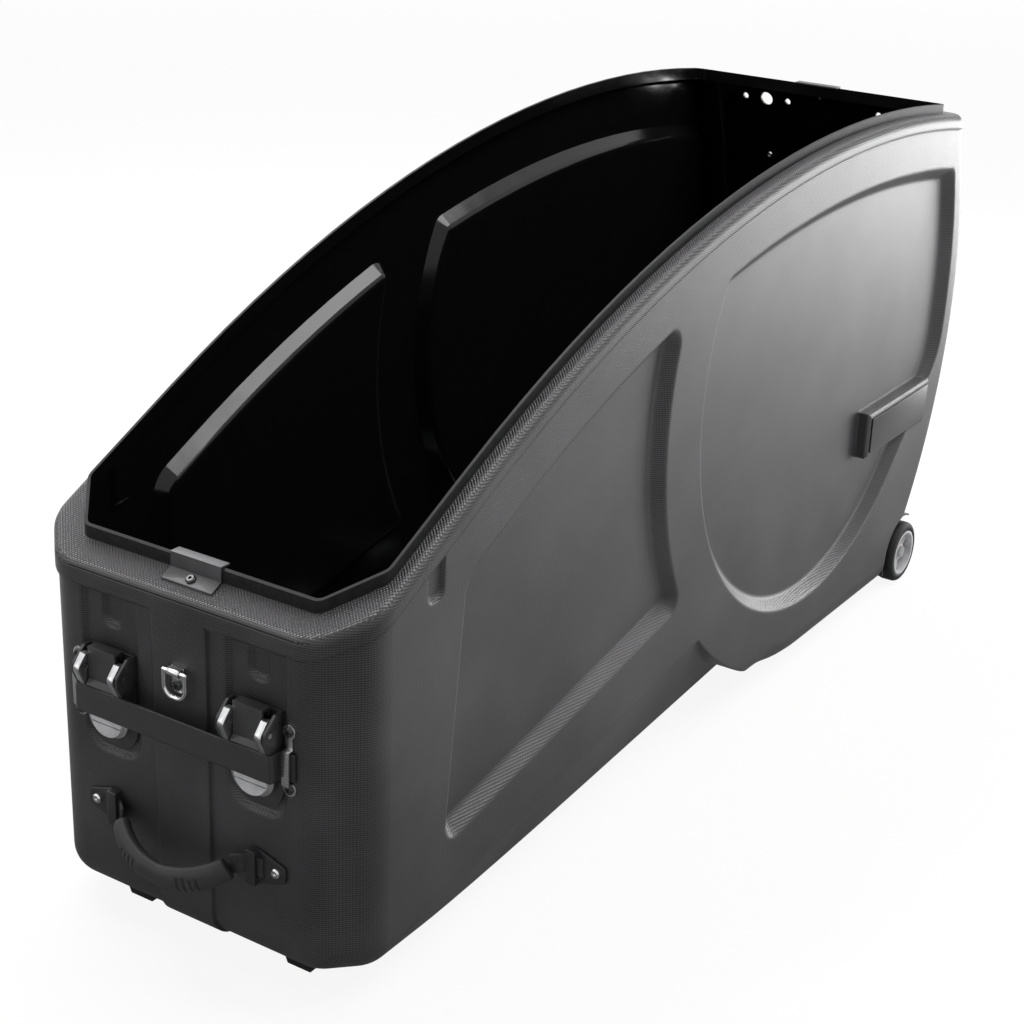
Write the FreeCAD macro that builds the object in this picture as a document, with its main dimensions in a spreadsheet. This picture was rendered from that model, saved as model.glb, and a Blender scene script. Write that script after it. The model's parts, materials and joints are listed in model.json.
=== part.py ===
import FreeCAD, Part
import Sketcher
import math
import os
import re
from FreeCAD import Placement, Rotation, Vector

# Hard travel case for a bicycle: the open base tub with its latches, strap, carry handle,
# lock ring, feet and wheels, and the rail inside that holds the frame.
# X runs from the latch end (-X) to the wheel end (+X), Y across, Z up from the ground.
# A station is a distance along X from the outer face of the front wall; a size called
# rear is a distance along X from the rear end of the tub.

SIZES = {
    # whole tub
    "case_length": 1349,
    "case_width": 386,
    "wall": 4,
    "front_reach": 47,
    "overrun": 20,
    # underside, front corners and edges of the tub
    "front_floor_z": 26,
    "corner_cut": 43,
    "corner_r": 40,
    "edge_r": 32,
    "floor_blend_r": 150,
    # wheel-shaped ring in the sides
    "ring_rear": 413,
    "ring_floor_z": 11,
    "ring_outer_r": 396,
    "ring_width": 76,
    # bulged rear wall
    "rear_arc_r": 600,
    "rear_arc_z": 400,
    "rear_foot_r": 60,
    # rim: a straight rise from the front, then one long arc
    "rim_front_drop": 17,
    "rim_slope_deg": 26.6,
    "rim_arc_station": 189.6,
    "rim_arc_r": 1799,
    "lip_height": 11,
    "lip_thickness": 3,
    "lip_side_inset": 13,
    "lip_front_station": 25,
    "lip_rear": 95,
    "lip_corner_station": 73,
    "lip_corner_half": 139,
    "lip_corner_r": 14,
    "shoulder_r": 11,
    "bead_rise": 3,
    "bead_depth": 18,
    # sunk panels in the sides
    "panel_depth": 14,
    "panel_rim_drop": 80,
    "panel_rear_margin": 48,
    "panel_corner_r": 18,
    "panel_rear_corner_r": 90,
    "panel_top_corner_r": 35,
    "panel_left_low_station": 150,
    "panel_left_high_station": 172,
    "panel_left_low_z": 150,
    "panel_left_high_z": 370,
    "panel_foot_station": 185,
    "panel_foot_z": 121,
    "panel_foot_slope_deg": 11,
    "panel_edge_r": 5,
    "panel_floor_r": 8,
    # lower side turned under in front of the ring
    "turn_station": 180,
    "turn_z": 66,
    "turn_slope_deg": 9,
    "turn_lean_deg": 21,
    # flutes above the latches, raised band between them, short side grooves
    "flute_floor_width": 61,
    "flute_depth": 5,
    "flute_foot_z": 186,
    "band_width": 66,
    "band_rise": 3,
    "band_top_drop": 25,
    "groove_station": 125,
    "groove_width": 26,
    "groove_depth": 5,
    "groove_foot_drop": 10,
    "front_groove_drop": 72,
    "groove_corner_share": 0.4,
    "floor_round_share": 0.5,
    "flute_corner_r": 24,
    "latch_half_spacing": 88,
    # raised pad for a name plate
    "badge_rear": 181,
    "badge_z": 260,
    "badge_length": 190,
    "badge_height": 60,
    "badge_rise": 3,
    "badge_thickness": 2,
    "badge_margin": 4,
    # transport wheels
    "wheel_rear": 109,
    "wheel_r": 42,
    "wheel_width": 26,
    "wheel_overhang": 5,
    "wheel_well_gap": 12,
    "well_depth": 40,
    # shared clearances
    "running_gap": 0.05,
    "hole_gap": 0.15,
    "seat_gap": 0.2,
    "side_gap": 0.7,
    # lid clips on the rim, front and rear
    "clip_width": 60,
    "clip_sheet": 1.8,
    "clip_cover": 7,
    "clip_foot": 15,
    # round-head screws and rivets
    "screw_r": 2.5,
    "screw_head_r": 5,
    "screw_head_height": 2.6,
    "screw_length": 9,
    "screw_head_bevel": 1.4,
    "drive_r": 1.8,
    "drive_depth": 1.4,
    # draw latches, measured out from the flute floor
    "latch_width": 57,
    "latch_foot_z": 195,
    "latch_top_z": 298,
    "latch_plate": 3,
    "latch_foot_r": 24,
    "latch_screw_low_z": 236,
    "latch_screw_high_z": 272,
    "cheek_thickness": 3,
    "cheek_foot_z": 242,
    "cheek_nose": 7,
    "cheek_round": 5,
    "cheek_step": 9,
    "lever_pin_r": 2.5,
    "lever_pin_out": 20,
    "lever_pin_z": 281,
    "lever_arm": 7,
    "arm_thickness": 6.5,
    "arm_top_out": 13,
    "arm_top_z": 293,
    "arm_knee_out": 30,
    "arm_waist_out": 20.5,
    "arm_waist_z": 259,
    "arm_round": 6,
    "lever_bend_z": 246,
    "lever_reach": 12,
    "lever_plate": 2.5,
    "tongue_foot_z": 210,
    "tongue_top_z": 241,
    "tongue_width": 38,
    "tongue_thickness": 3,
    "tongue_r": 18,
    "tongue_groove": 1.2,
    "tongue_pitch": 6,
    "hook_pin_r": 2,
    "hook_pin_out": 17.2,
    "hook_pin_z": 259,
    "hook_eye": 4.5,
    "hook_width": 34,
    "hook_plate": 3.2,
    "hook_top_z": 301,
    "hook_claw": 9,
    # strap over the latch levers and its two anchors
    "anchor_half_spacing": 127,
    "anchor_high_z": 283,
    "anchor_low_z": 225,
    "anchor_eye_r": 7,
    "anchor_width": 8,
    "anchor_sheet": 2,
    "anchor_rise": 8,
    "strap_width": 28,
    "strap_thickness": 2,
    "strap_slack": 1.5,
    "strap_z": 248,
    # padlock ring on the raised band
    "lock_z": 290,
    "lock_plate_width": 15,
    "lock_foot_r": 6,
    "lock_plate": 2,
    "lock_bar_rise": 15,
    "lock_bar_out": 6,
    "lock_wire_r": 2.2,
    "lock_ring_half": 13,
    "lock_ring_drop": 26,
    "lock_knuckle": 14,
    "lock_knuckle_wall": 1.6,
    # carry handle
    "handle_z": 132,
    "handle_tip": 122,
    "handle_tip_half": 8,
    "handle_plate_height": 36,
    "handle_plate": 3,
    "handle_screw_half": 111,
    "handle_bridge_half": 86,
    "handle_bridge": 11,
    "handle_bridge_rise": 7,
    "web_width": 20,
    "web_thickness": 2.4,
    "web_room": 0.6,
    "grip_high": 12.5,
    "grip_deep": 9,
    "grip_waist_share": 0.9,
    "grip_half": 66,
    "grip_end_out": 17,
    "grip_end_drop": 4,
    "grip_drop": 24,
    # front feet
    "foot_station": 36,
    "foot_length": 52,
    "foot_width": 38,
    "foot_half_spacing": 101,
    "foot_taper": 5,
    "foot_sink": 14,
    # wheel brackets, axles and wheels
    "axle_r": 4,
    "axle_cap_r": 8,
    "axle_cap": 2.5,
    "bracket_plate": 3,
    "bracket_boss_r": 12,
    "bracket_screw_ring": 34,
    "bracket_low_share": 0.3,
    "bracket_high_share": 0.7,
    "fender_wall": 2.5,
    "fender_start_deg": 64,
    "fender_end_deg": 204,
    "tyre_wall": 11,
    "tyre_round": 6,
    "hub_r": 11,
    "hub_web": 8,
    "hub_rim": 3.5,
    "hub_dish": 5,
    "spoke_width": 8,
    # holes and bolts of the rear wall
    "rear_hole_half_spacing": 99,
    "rear_hole_drop": 21.2,
    "rear_hole_r": 9,
    "rear_side_hole_r": 4.2,
    "rear_side_hole_spacing": 64,
    "rear_bolt_drop": 102.2,
    # rail on the floor with the fork mount and the frame cradle
    "rail_station": 195,
    "rail_rear": 534,
    "rail_width": 46,
    "rail_height": 24,
    "rail_wall": 3,
    "rail_slot": 16,
    "rail_screw_inset": 40,
    "shoe_length": 64,
    "shoe_wall": 9,
    "shoe_top": 10,
    "shoe_gap": 0.4,
    "fork_mount_station": 262,
    "fork_axle_z": 128,
    "fork_width": 100,
    "fork_tube_r": 13,
    "fork_upright": 14,
    "fork_upright_width": 60,
    "skewer_r": 4.5,
    "skewer_stub": 8,
    "nut_r": 9,
    "nut_length": 12,
    "skewer_tab": 6,
    "cam_r": 9,
    "cam_length": 15,
    "cam_pin_r": 2.5,
    "cam_blade": 6,
    "cam_lever_length": 56,
    "cradle_rear": 659,
    "cradle_z": 96,
    "cradle_width": 76,
    "cradle_length": 62,
    "cradle_bowl_r": 26,
    "cradle_pad": 4,
    "cradle_open": 10,
    "knob_r": 11,
    "knob_length": 14,
    "knob_stud_r": 4,
    "knob_scallop_share": 0.45,
}


class SizeTable:
    """Reads the driving dimensions back from the sheet by name."""

    def __init__(self, sheet):
        self._sheet = sheet

    def __getattr__(self, alias):
        return float(self._sheet.get(alias))


doc = FreeCAD.newDocument("bike_travel_case")
sheet = doc.addObject("Spreadsheet::Sheet", "Sizes")
for row, (alias, value) in enumerate(SIZES.items(), start=1):
    sheet.set(f"A{row}", alias)
    sheet.set(f"B{row}", str(value))
    sheet.setAlias(f"B{row}", alias)
doc.recompute()
s = SizeTable(sheet)
FRONT_X = (s.front_reach - s.case_length) / 2
REAR_X = FRONT_X + s.case_length
HALF_WIDTH = s.case_width / 2
RING = Vector(REAR_X - s.ring_rear, 0, s.ring_floor_z + s.ring_outer_r)
RIM_FRONT_Z = RING.z - s.rim_front_drop
DIAGONAL = math.sqrt(0.5)
BEVEL_SHARE = math.tan(math.radians(22.5))


def at(station, z, y=0.0):
    return Vector(FRONT_X + station, y, z)


def line(start, end):
    return Part.LineSegment(start, end).toShape()


def arc(start, middle, end):
    return Part.Arc(start, middle, end).toShape()


def nearest_edge(shape, point):
    return min(shape.Edges, key=lambda edge: edge.CenterOfMass.distanceToPoint(point))


def circle_point(centre, radius, angle):
    return centre + Vector(math.cos(angle), 0, math.sin(angle)) * radius


def direction_to(centre, point):
    return math.atan2(point.z - centre.z, point.x - centre.x)


def arc_about(centre, start, end, turn):
    """Arc round a centre in the XZ plane; turn is +1 or -1 for rising or falling angle."""
    radius = centre.distanceToPoint(start)
    first = direction_to(centre, start)
    sweep = (direction_to(centre, end) - first) * turn % (2 * math.pi)
    return arc(start, circle_point(centre, radius, first + turn * sweep / 2), end)


def circles_meet(first, first_r, second, second_r, side):
    """Where two circles in the XZ plane cross; side picks one of the two points."""
    apart = first.distanceToPoint(second)
    along = (apart**2 + first_r**2 - second_r**2) / (2 * apart)
    height = math.sqrt(first_r**2 - along**2)
    axis = (second - first) * (1 / apart)
    across = Vector(-axis.z, 0, axis.x)
    return first + axis * along + across * (height * side)


def line_meets_circle(start, heading, centre, radius, side):
    """Where a line crosses a circle; side +1 is the crossing further along."""
    offset = start - centre
    along = -offset.dot(heading)
    reach = math.sqrt(along**2 - offset.dot(offset) + radius**2)
    return start + heading * (along + side * reach)


def lines_meet(first, first_heading, second, second_heading):
    gap = second - first
    bottom = first_heading.x * second_heading.z - first_heading.z * second_heading.x
    reach = (gap.x * second_heading.z - gap.z * second_heading.x) / bottom
    return first + first_heading * reach


def heading(degrees):
    return Vector(math.cos(math.radians(degrees)), 0, math.sin(math.radians(degrees)))


# Rim curve


class Rim:
    """The rim seen from the side, moved down square to itself by a drop."""

    def __init__(self, drop):
        rise = math.tan(math.radians(s.rim_slope_deg)) * s.rim_arc_station
        slope = heading(s.rim_slope_deg)
        down = Vector(slope.z, 0, -slope.x)
        bend = at(s.rim_arc_station, RIM_FRONT_Z + rise)
        self.slope = slope
        self.bend = bend + down * drop
        self.centre = bend + down * s.rim_arc_r
        self.radius = s.rim_arc_r - drop

    def on_slope(self, x):
        return self.bend + self.slope * ((x - self.bend.x) / self.slope.x)

    def on_arc(self, x):
        rise = math.sqrt(self.radius**2 - (x - self.centre.x) ** 2)
        return Vector(x, 0, self.centre.z + rise)


def prism(edges, low_y, high_y):
    face = Part.Face(Part.Wire(Part.__sortEdges__(edges)))
    face.translate(Vector(0, low_y, 0))
    return face.extrude(Vector(0, high_y - low_y, 0))


BLANK_TOP = Rim(0).centre.z + s.rim_arc_r + s.overrun


def above_rim(drop):
    """Everything over the dropped rim curve, across the whole width."""
    rim = Rim(drop)
    front = rim.on_slope(FRONT_X - s.front_reach)
    rear = rim.on_arc(FRONT_X + s.case_length + s.overrun)
    rear_top = Vector(rear.x, 0, BLANK_TOP + s.overrun)
    front_top = Vector(front.x, 0, BLANK_TOP + s.overrun)
    middle = rim.on_arc((rim.bend.x + rear.x) / 2)
    edges = [
        line(front, rim.bend),
        arc(rim.bend, middle, rear),
        line(rear, rear_top),
        line(rear_top, front_top),
        line(front_top, front),
    ]
    return prism(edges, -s.case_width, s.case_width)


# Tub form, offset inwards by a wall


def tub(inset):
    """The closed blank of the tub, every face moved inwards by inset."""
    ring = RING
    rear = at(s.case_length - s.rear_arc_r, s.rear_arc_z)
    floor_z = s.front_floor_z + inset
    rear_floor_z = s.ring_floor_z + inset
    ring_r = s.ring_outer_r - inset
    rear_r = s.rear_arc_r - max(inset, 0)
    blend_r = s.floor_blend_r + inset
    foot_r = s.rear_foot_r - inset
    blend_z = floor_z - blend_r
    blend_back = math.sqrt((ring_r + blend_r) ** 2 - (ring.z - blend_z) ** 2)
    blend = Vector(ring.x - blend_back, 0, blend_z)
    foot_z = rear_floor_z + foot_r
    foot_back = math.sqrt((rear_r - foot_r) ** 2 - (foot_z - rear.z) ** 2)
    foot = Vector(rear.x + foot_back, 0, foot_z)
    front_top = at(inset, BLANK_TOP)
    front_low = at(inset, floor_z)
    blend_start = Vector(blend.x, 0, floor_z)
    blend_end = ring + (blend - ring) * (ring_r / (ring_r + blend_r))
    ring_low = Vector(ring.x, 0, rear_floor_z)
    foot_start = Vector(foot.x, 0, rear_floor_z)
    foot_end = rear + (foot - rear) * (rear_r / (rear_r - foot_r))
    rear_back = math.sqrt(rear_r**2 - (BLANK_TOP - rear.z) ** 2)
    rear_top = Vector(rear.x + rear_back, 0, BLANK_TOP)
    edges = [
        line(front_top, front_low),
        line(front_low, blend_start),
        arc_about(blend, blend_start, blend_end, -1),
        arc_about(ring, blend_end, ring_low, 1),
        line(ring_low, foot_start),
        arc_about(foot, foot_start, foot_end, 1),
        arc_about(rear, foot_end, rear_top, 1),
        line(rear_top, front_top),
    ]
    half = HALF_WIDTH - inset
    blank = prism(edges, -half, half)
    middle_z = (BLANK_TOP + floor_z) / 2
    corners = [nearest_edge(blank, at(inset, middle_z, side * half)) for side in (-1, 1)]
    cut = s.corner_cut - inset * (2 - 2 * DIAGONAL)
    blank = blank.makeChamfer(cut, corners)
    bends = []
    for side in (-1, 1):
        bends.append(nearest_edge(blank, at(inset, middle_z, side * (half - cut))))
        bends.append(nearest_edge(blank, at(inset + cut, middle_z, side * half)))
    blank = blank.makeFillet(s.corner_r - inset, bends)
    return blank.makeFillet(s.edge_r - inset, [nearest_edge(blank, at(inset, floor_z))])


# Sunk panels, grooves and pockets


def sunk(outline, inward, depth, corners, floor_r):
    """A pocket tool with walls at 45 degrees: the outline lies on the wall, inward points into the tub.

    corners holds (point on the outline, radius) for each corner to be rounded.
    """
    face = Part.Face(Part.Wire(Part.__sortEdges__(outline)))
    face.translate(inward * -s.overrun)
    tool = face.extrude(inward * (s.overrun + depth))
    for point, radius in corners:
        middle = point + inward * ((depth - s.overrun) / 2)
        tool = tool.makeFillet(radius, [nearest_edge(tool, middle)])
    floor = max(tool.Faces, key=lambda side: side.CenterOfMass.dot(inward))
    tool = tool.makeChamfer(depth, floor.Edges)
    floor = max(tool.Faces, key=lambda side: side.CenterOfMass.dot(inward))
    return tool.makeFillet(floor_r, floor.Edges)


def round_panel(inset):
    """Tool for the wheel-shaped panel on the -Y side."""
    grow = inset * BEVEL_SHARE
    level = Vector(0, inset - HALF_WIDTH, 0)
    ring = RING
    ring_r = s.ring_outer_r - s.ring_width + grow
    rim = Rim(s.panel_rim_drop - grow)
    rear = at(s.case_length - s.rear_arc_r, s.rear_arc_z)
    rear_r = s.rear_arc_r - s.panel_rear_margin + grow
    top_left = circles_meet(ring, ring_r, rim.centre, rim.radius, -1)
    leave = circle_point(ring, ring_r, -math.pi / 4)
    low_right = line_meets_circle(leave, heading(45), rear, rear_r, 1)
    top_right = circles_meet(rear, rear_r, rim.centre, rim.radius, 1)
    outline = [
        arc_about(ring, top_left, leave, 1),
        line(leave, low_right),
        arc_about(rear, low_right, top_right, 1),
        arc_about(rim.centre, top_right, top_left, 1),
    ]
    for edge in outline:
        edge.translate(level)
    corners = [
        (top_left + level, s.panel_corner_r + grow),
        (low_right + level, s.panel_rear_corner_r + grow),
        (top_right + level, s.panel_corner_r + grow),
    ]
    return sunk(outline, Vector(0, 1, 0), s.panel_depth, corners, s.panel_floor_r + inset)


def front_panel(inset):
    """Tool for the three-sided panel ahead of the ring on the -Y side."""
    grow = inset * BEVEL_SHARE
    level = Vector(0, inset - HALF_WIDTH, 0)
    ring = RING
    ring_r = s.ring_outer_r - grow
    rim = Rim(s.panel_rim_drop - grow)
    left_low = at(s.panel_left_low_station - grow, s.panel_left_low_z)
    left_high = at(s.panel_left_high_station - grow, s.panel_left_high_z)
    upright = (left_high - left_low).normalize()
    foot = heading(s.panel_foot_slope_deg)
    foot_start = at(s.panel_foot_station, s.panel_foot_z) + Vector(foot.z, 0, -foot.x) * grow
    low_left = lines_meet(left_low, upright, foot_start, foot)
    top_left = lines_meet(left_low, upright, rim.bend, rim.slope)
    low_right = line_meets_circle(foot_start, foot, ring, ring_r, -1)
    tip = circles_meet(ring, ring_r, rim.centre, rim.radius, -1)
    outline = [
        line(low_left, low_right),
        arc_about(ring, low_right, tip, -1),
        arc_about(rim.centre, tip, rim.bend, 1),
        line(rim.bend, top_left),
        line(top_left, low_left),
    ]
    for edge in outline:
        edge.translate(level)
    corners = [
        (low_left + level, s.panel_corner_r + grow),
        (low_right + level, s.panel_corner_r + grow),
        (tip + level, s.panel_corner_r + grow),
        (top_left + level, s.panel_top_corner_r + grow),
    ]
    return sunk(outline, Vector(0, 1, 0), s.panel_depth, corners, s.panel_floor_r + inset)


def turned_under(inset):
    """Tool that leans the lower side inwards, up to the ring, on the -Y side."""
    lean = math.tan(math.radians(s.turn_lean_deg))
    square = 1 / math.cos(math.radians(s.turn_lean_deg))
    crease = at(s.turn_station, s.turn_z, inset * square - HALF_WIDTH)
    up = Vector(0, -lean, 1)
    above = crease + up * (inset + s.overrun)
    below = crease - up * (s.turn_z + s.ring_outer_r / 2)
    outside = Vector(below.x, -s.case_width, below.z)
    section = Part.Face(Part.makePolygon([above, below, outside, above]))
    along = heading(s.turn_slope_deg)
    section.translate(along * -s.turn_station)
    tool = section.extrude(along * (s.case_length - s.ring_rear))
    start = RING - Vector(0, s.case_width, 0)
    disc = Part.makeCylinder(s.ring_outer_r - inset, 2 * s.case_width, start, Vector(0, 1, 0))
    return tool.cut(disc)


def side_groove(inset):
    """Tool for the short upright groove under the rim, on the -Y side."""
    grow = inset * BEVEL_SHARE
    half = s.groove_width / 2 + grow
    foot_z = RIM_FRONT_Z - s.groove_foot_drop - grow
    y = inset - HALF_WIDTH
    low_left = at(s.groove_station - half, foot_z, y)
    low_right = at(s.groove_station + half, foot_z, y)
    top_left = at(s.groove_station - half, BLANK_TOP, y)
    top_right = at(s.groove_station + half, BLANK_TOP, y)
    outline = Part.makePolygon([low_left, low_right, top_right, top_left, low_left]).Edges
    radius = s.groove_width * s.groove_corner_share
    corners = [(low_left, radius), (low_right, radius)]
    return sunk(outline, Vector(0, 1, 0), s.groove_depth, corners, s.groove_depth * s.floor_round_share)


def flute(side, inset):
    """Tool for the channel in the front wall that runs up from behind a latch."""
    grow = inset * BEVEL_SHARE
    half = s.flute_floor_width / 2 + s.flute_depth + grow
    foot_z = s.flute_foot_z - grow
    y = side * s.latch_half_spacing
    low_left = at(inset, foot_z, y - half)
    low_right = at(inset, foot_z, y + half)
    top_left = at(inset, BLANK_TOP, y - half)
    top_right = at(inset, BLANK_TOP, y + half)
    outline = Part.makePolygon([low_left, low_right, top_right, top_left, low_left]).Edges
    radius = s.flute_corner_r + grow
    corners = [(low_left, radius), (low_right, radius)]
    return sunk(outline, Vector(1, 0, 0), s.flute_depth, corners, s.flute_depth * s.floor_round_share)


def front_groove(side, inset):
    """Tool for the narrow upright groove in a flute, above its latch."""
    grow = inset * BEVEL_SHARE
    half = s.groove_width / 2 + grow
    foot_z = RIM_FRONT_Z - s.front_groove_drop - grow
    level = inset + s.flute_depth
    y = side * s.latch_half_spacing
    low_left = at(level, foot_z, y - half)
    low_right = at(level, foot_z, y + half)
    top_left = at(level, BLANK_TOP, y - half)
    top_right = at(level, BLANK_TOP, y + half)
    outline = Part.makePolygon([low_left, low_right, top_right, top_left, low_left]).Edges
    radius = s.groove_width * s.groove_corner_share
    corners = [(low_left, radius), (low_right, radius)]
    return sunk(outline, Vector(1, 0, 0), s.groove_depth, corners, s.groove_depth * s.floor_round_share)


def wheel_well(inset):
    """Tool for the pocket that takes a transport wheel, on the -Y side."""
    radius = s.wheel_r + s.wheel_well_gap + inset
    depth = s.well_depth + inset
    centre = Vector(REAR_X - s.wheel_rear, -HALF_WIDTH - s.overrun, s.wheel_r)
    return Part.makeCylinder(radius, depth + s.overrun, centre, Vector(0, 1, 0))


def mirrored(shape):
    return shape.mirror(Vector(0, 0, 0), Vector(0, 1, 0))


def both(tool):
    return [tool, mirrored(tool)]


def rounded_prism(points, radii, low_z, height):
    """An upright prism on a polygon of plan points, its upright edges rounded."""
    face = Part.Face(Part.makePolygon(points + points[:1]))
    face.translate(Vector(0, 0, low_z))
    solid = face.extrude(Vector(0, 0, height))
    for point, radius in zip(points, radii):
        middle = Vector(point.x, point.y, low_z + height / 2)
        solid = solid.makeFillet(radius, [nearest_edge(solid, middle)])
    return solid


def lip(inset):
    """The upright lip inside the shoulder, as a solid plug; inset moves its face inwards."""
    half = HALF_WIDTH - s.lip_side_inset - inset
    front = FRONT_X + s.lip_front_station + inset
    rear = REAR_X - s.lip_rear - inset
    bend = FRONT_X + s.lip_corner_station + inset * BEVEL_SHARE
    corner = s.lip_corner_half - inset * BEVEL_SHARE
    right = [Vector(front, -corner), Vector(bend, -half), Vector(rear, -half)]
    points = right + [Vector(p.x, -p.y) for p in reversed(right)]
    radii = [s.lip_corner_r - inset] * len(points)
    return rounded_prism(points, radii, 0, BLANK_TOP)


def front_band(inset):
    """The raised band down the middle of the front wall and round under it."""
    half = s.band_width / 2 - inset
    depth = s.turn_station
    low = at(-s.overrun, -s.overrun, -half)
    height = RIM_FRONT_Z - s.band_top_drop + s.overrun - inset
    slab = Part.makeBox(s.overrun + depth, 2 * half, height, low)
    return tub(inset - s.band_rise).common(slab)


def badge_pad(inset):
    """The raised pad for a plate on the -Y side."""
    length = s.badge_length - 2 * inset
    height = s.badge_height - 2 * inset
    rise = s.badge_rise - inset
    low_y = -HALF_WIDTH - rise
    depth = rise + s.panel_depth + s.wall
    corner = Vector(REAR_X - s.badge_rear - length / 2, low_y, s.badge_z - height / 2)
    pad = Part.makeBox(length, depth, height, corner)
    face = min(pad.Faces, key=lambda side: side.CenterOfMass.y)
    return pad.makeChamfer(s.badge_rise, face.Edges)


def side_faces(shape):
    level = HALF_WIDTH - s.wall / 2
    flat = [face for face in shape.Faces if abs(face.CenterOfMass.y) > level]
    return [face for face in flat if face.Surface.TypeId == "Part::GeomPlane" and len(face.Wires) > 1]


def shoulder_form(inset, rim_drop, radius):
    """The tub's form up to the dropped rim curve, its shoulder rounded, without the lip."""
    form = tub(inset).cut(above_rim(rim_drop))
    front_edge = nearest_edge(form, Rim(rim_drop).on_slope(FRONT_X + inset))
    return form.makeFillet(radius, [front_edge])


def bead():
    """The rolled shoulder that stands out a little over the walls all along."""
    form = shoulder_form(-s.bead_rise, s.lip_height, s.shoulder_r)
    return form.common(above_rim(s.lip_height + s.bead_depth))


def tub_shell():
    """The thin-walled tub: outside form less inside form, with the lip standing in the shoulder."""
    rim_top = above_rim(0)
    lip_zone = above_rim(s.panel_rim_drop / 2)
    outside = tub(0).cut(above_rim(s.lip_height + s.bead_depth / 2))
    outside = outside.cut(both(round_panel(0)) + both(front_panel(0)) + both(turned_under(0)))
    panel_edges = [edge for face in side_faces(outside) for wire in face.Wires[1:] for edge in wire.Edges]
    outside = outside.makeFillet(s.panel_edge_r, panel_edges)
    outside = outside.fuse(front_band(0))
    outside = outside.cut([flute(side, 0) for side in (-1, 1)])
    outside = outside.cut([front_groove(side, 0) for side in (-1, 1)])
    outside = outside.cut(both(side_groove(0)) + both(wheel_well(0)))
    outside = outside.fuse(badge_pad(0)).fuse(bead())
    outside = outside.fuse(lip(0).common(lip_zone).cut(rim_top))
    inside = shoulder_form(s.wall, s.lip_height + s.wall, s.shoulder_r - s.wall)
    inside = inside.fuse(front_band(s.wall))
    inside = inside.fuse(lip(s.lip_thickness).common(lip_zone))
    inside = inside.cut(both(round_panel(s.wall)) + both(front_panel(s.wall)) + both(turned_under(s.wall)))
    inside = inside.cut([flute(side, s.wall) for side in (-1, 1)])
    inside = inside.cut([front_groove(side, s.wall) for side in (-1, 1)])
    inside = inside.cut(both(side_groove(s.wall)) + both(wheel_well(s.wall)))
    inside = inside.fuse(badge_pad(s.wall))
    return outside.cut(inside)


# Pieces as document objects, their sizes bound to the sheet

FRONT = "(front_reach - case_length) / 2"
REAR = f"{FRONT} + case_length"
TURN = {"X": Rotation(Vector(0, 1, 0), 90), "Y": Rotation(Vector(1, 0, 0), -90), "Z": Rotation()}
LEFT, RIGHT = 1, -1
SIDES = {"left": LEFT, "right": RIGHT}
nodes = {}


def named(expression):
    """Turns size names in an expression into references to the sheet."""
    return re.sub(r"[a-z_]+", lambda found: found[0] if found[0] not in SIZES else "Sizes." + found[0], expression)


def value(expression):
    return float(sheet.evalExpression(named(expression)))


def out(distance):
    """X at a distance out from the front wall."""
    return f"{FRONT} - ({distance})"


def latch_out(distance):
    """X at a distance out from the flute floor."""
    return f"{FRONT} + flute_depth - ({distance})"


def node(label, piece):
    piece.Label = label
    nodes[label] = piece
    return piece


def solid(label, shape):
    piece = doc.addObject("Part::Feature", label)
    piece.Shape = shape
    return piece


def move(piece, axis, low):
    piece.Placement = Placement(Vector(), TURN[axis])
    for letter, expression in zip("xyz", low):
        piece.setExpression(f"Placement.Base.{letter}", named(expression))


def box(label, low, size):
    piece = doc.addObject("Part::Box", label)
    for side, expression in zip(("Length", "Width", "Height"), size):
        piece.setExpression(side, named(expression))
    move(piece, "Z", low)
    return piece


def rod(label, radius, length, low, axis):
    piece = doc.addObject("Part::Cylinder", label)
    piece.setExpression("Radius", named(radius))
    piece.setExpression("Height", named(length))
    move(piece, axis, low)
    return piece


def hold(sketch, kind, references, expression):
    constraint = Sketcher.Constraint(kind, *references, value(expression))
    sketch.setExpression(f"Constraints[{sketch.addConstraint(constraint)}]", named(expression))


def pad(label, plane, points, start, depth, holes=()):
    """A body padded from a polygon with round holes, from start to start + depth along the third axis."""
    body = doc.addObject("PartDesign::Body", label)
    sketch = body.newObject("Sketcher::SketchObject", label + "_outline")
    level = next(datum for datum in body.Origin.OriginFeatures if datum.Role == f"{plane}_Plane")
    sketch.AttachmentSupport = [(level, "")]
    sketch.MapMode = "FlatFace"
    begin = f"-({start} + {depth})" if plane == "XZ" else start
    sketch.setExpression("AttachmentOffset.Base.z", named(begin))
    corners = [Vector(value(first), value(second), 0) for first, second in points]
    following = corners[1:] + corners[:1]
    for index, ends in enumerate(zip(corners, following)):
        sketch.addGeometry(Part.LineSegment(*ends), False)
    for index, (first, second) in enumerate(points):
        sketch.addConstraint(Sketcher.Constraint("Coincident", index - 1 if index else len(points) - 1, 2, index, 1))
        hold(sketch, "DistanceX", (-1, 1, index, 1), first)
        hold(sketch, "DistanceY", (-1, 1, index, 1), second)
    for first, second, radius in holes:
        centre = Vector(value(first), value(second), 0)
        index = sketch.addGeometry(Part.Circle(centre, Vector(0, 0, 1), value(radius)), False)
        hold(sketch, "DistanceX", (-1, 1, index, 3), first)
        hold(sketch, "DistanceY", (-1, 1, index, 3), second)
        hold(sketch, "Radius", (index,), radius)
    feature = body.newObject("PartDesign::Pad", label + "_pad")
    feature.Profile = sketch
    feature.setExpression("Length", named(depth))
    return body


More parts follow.
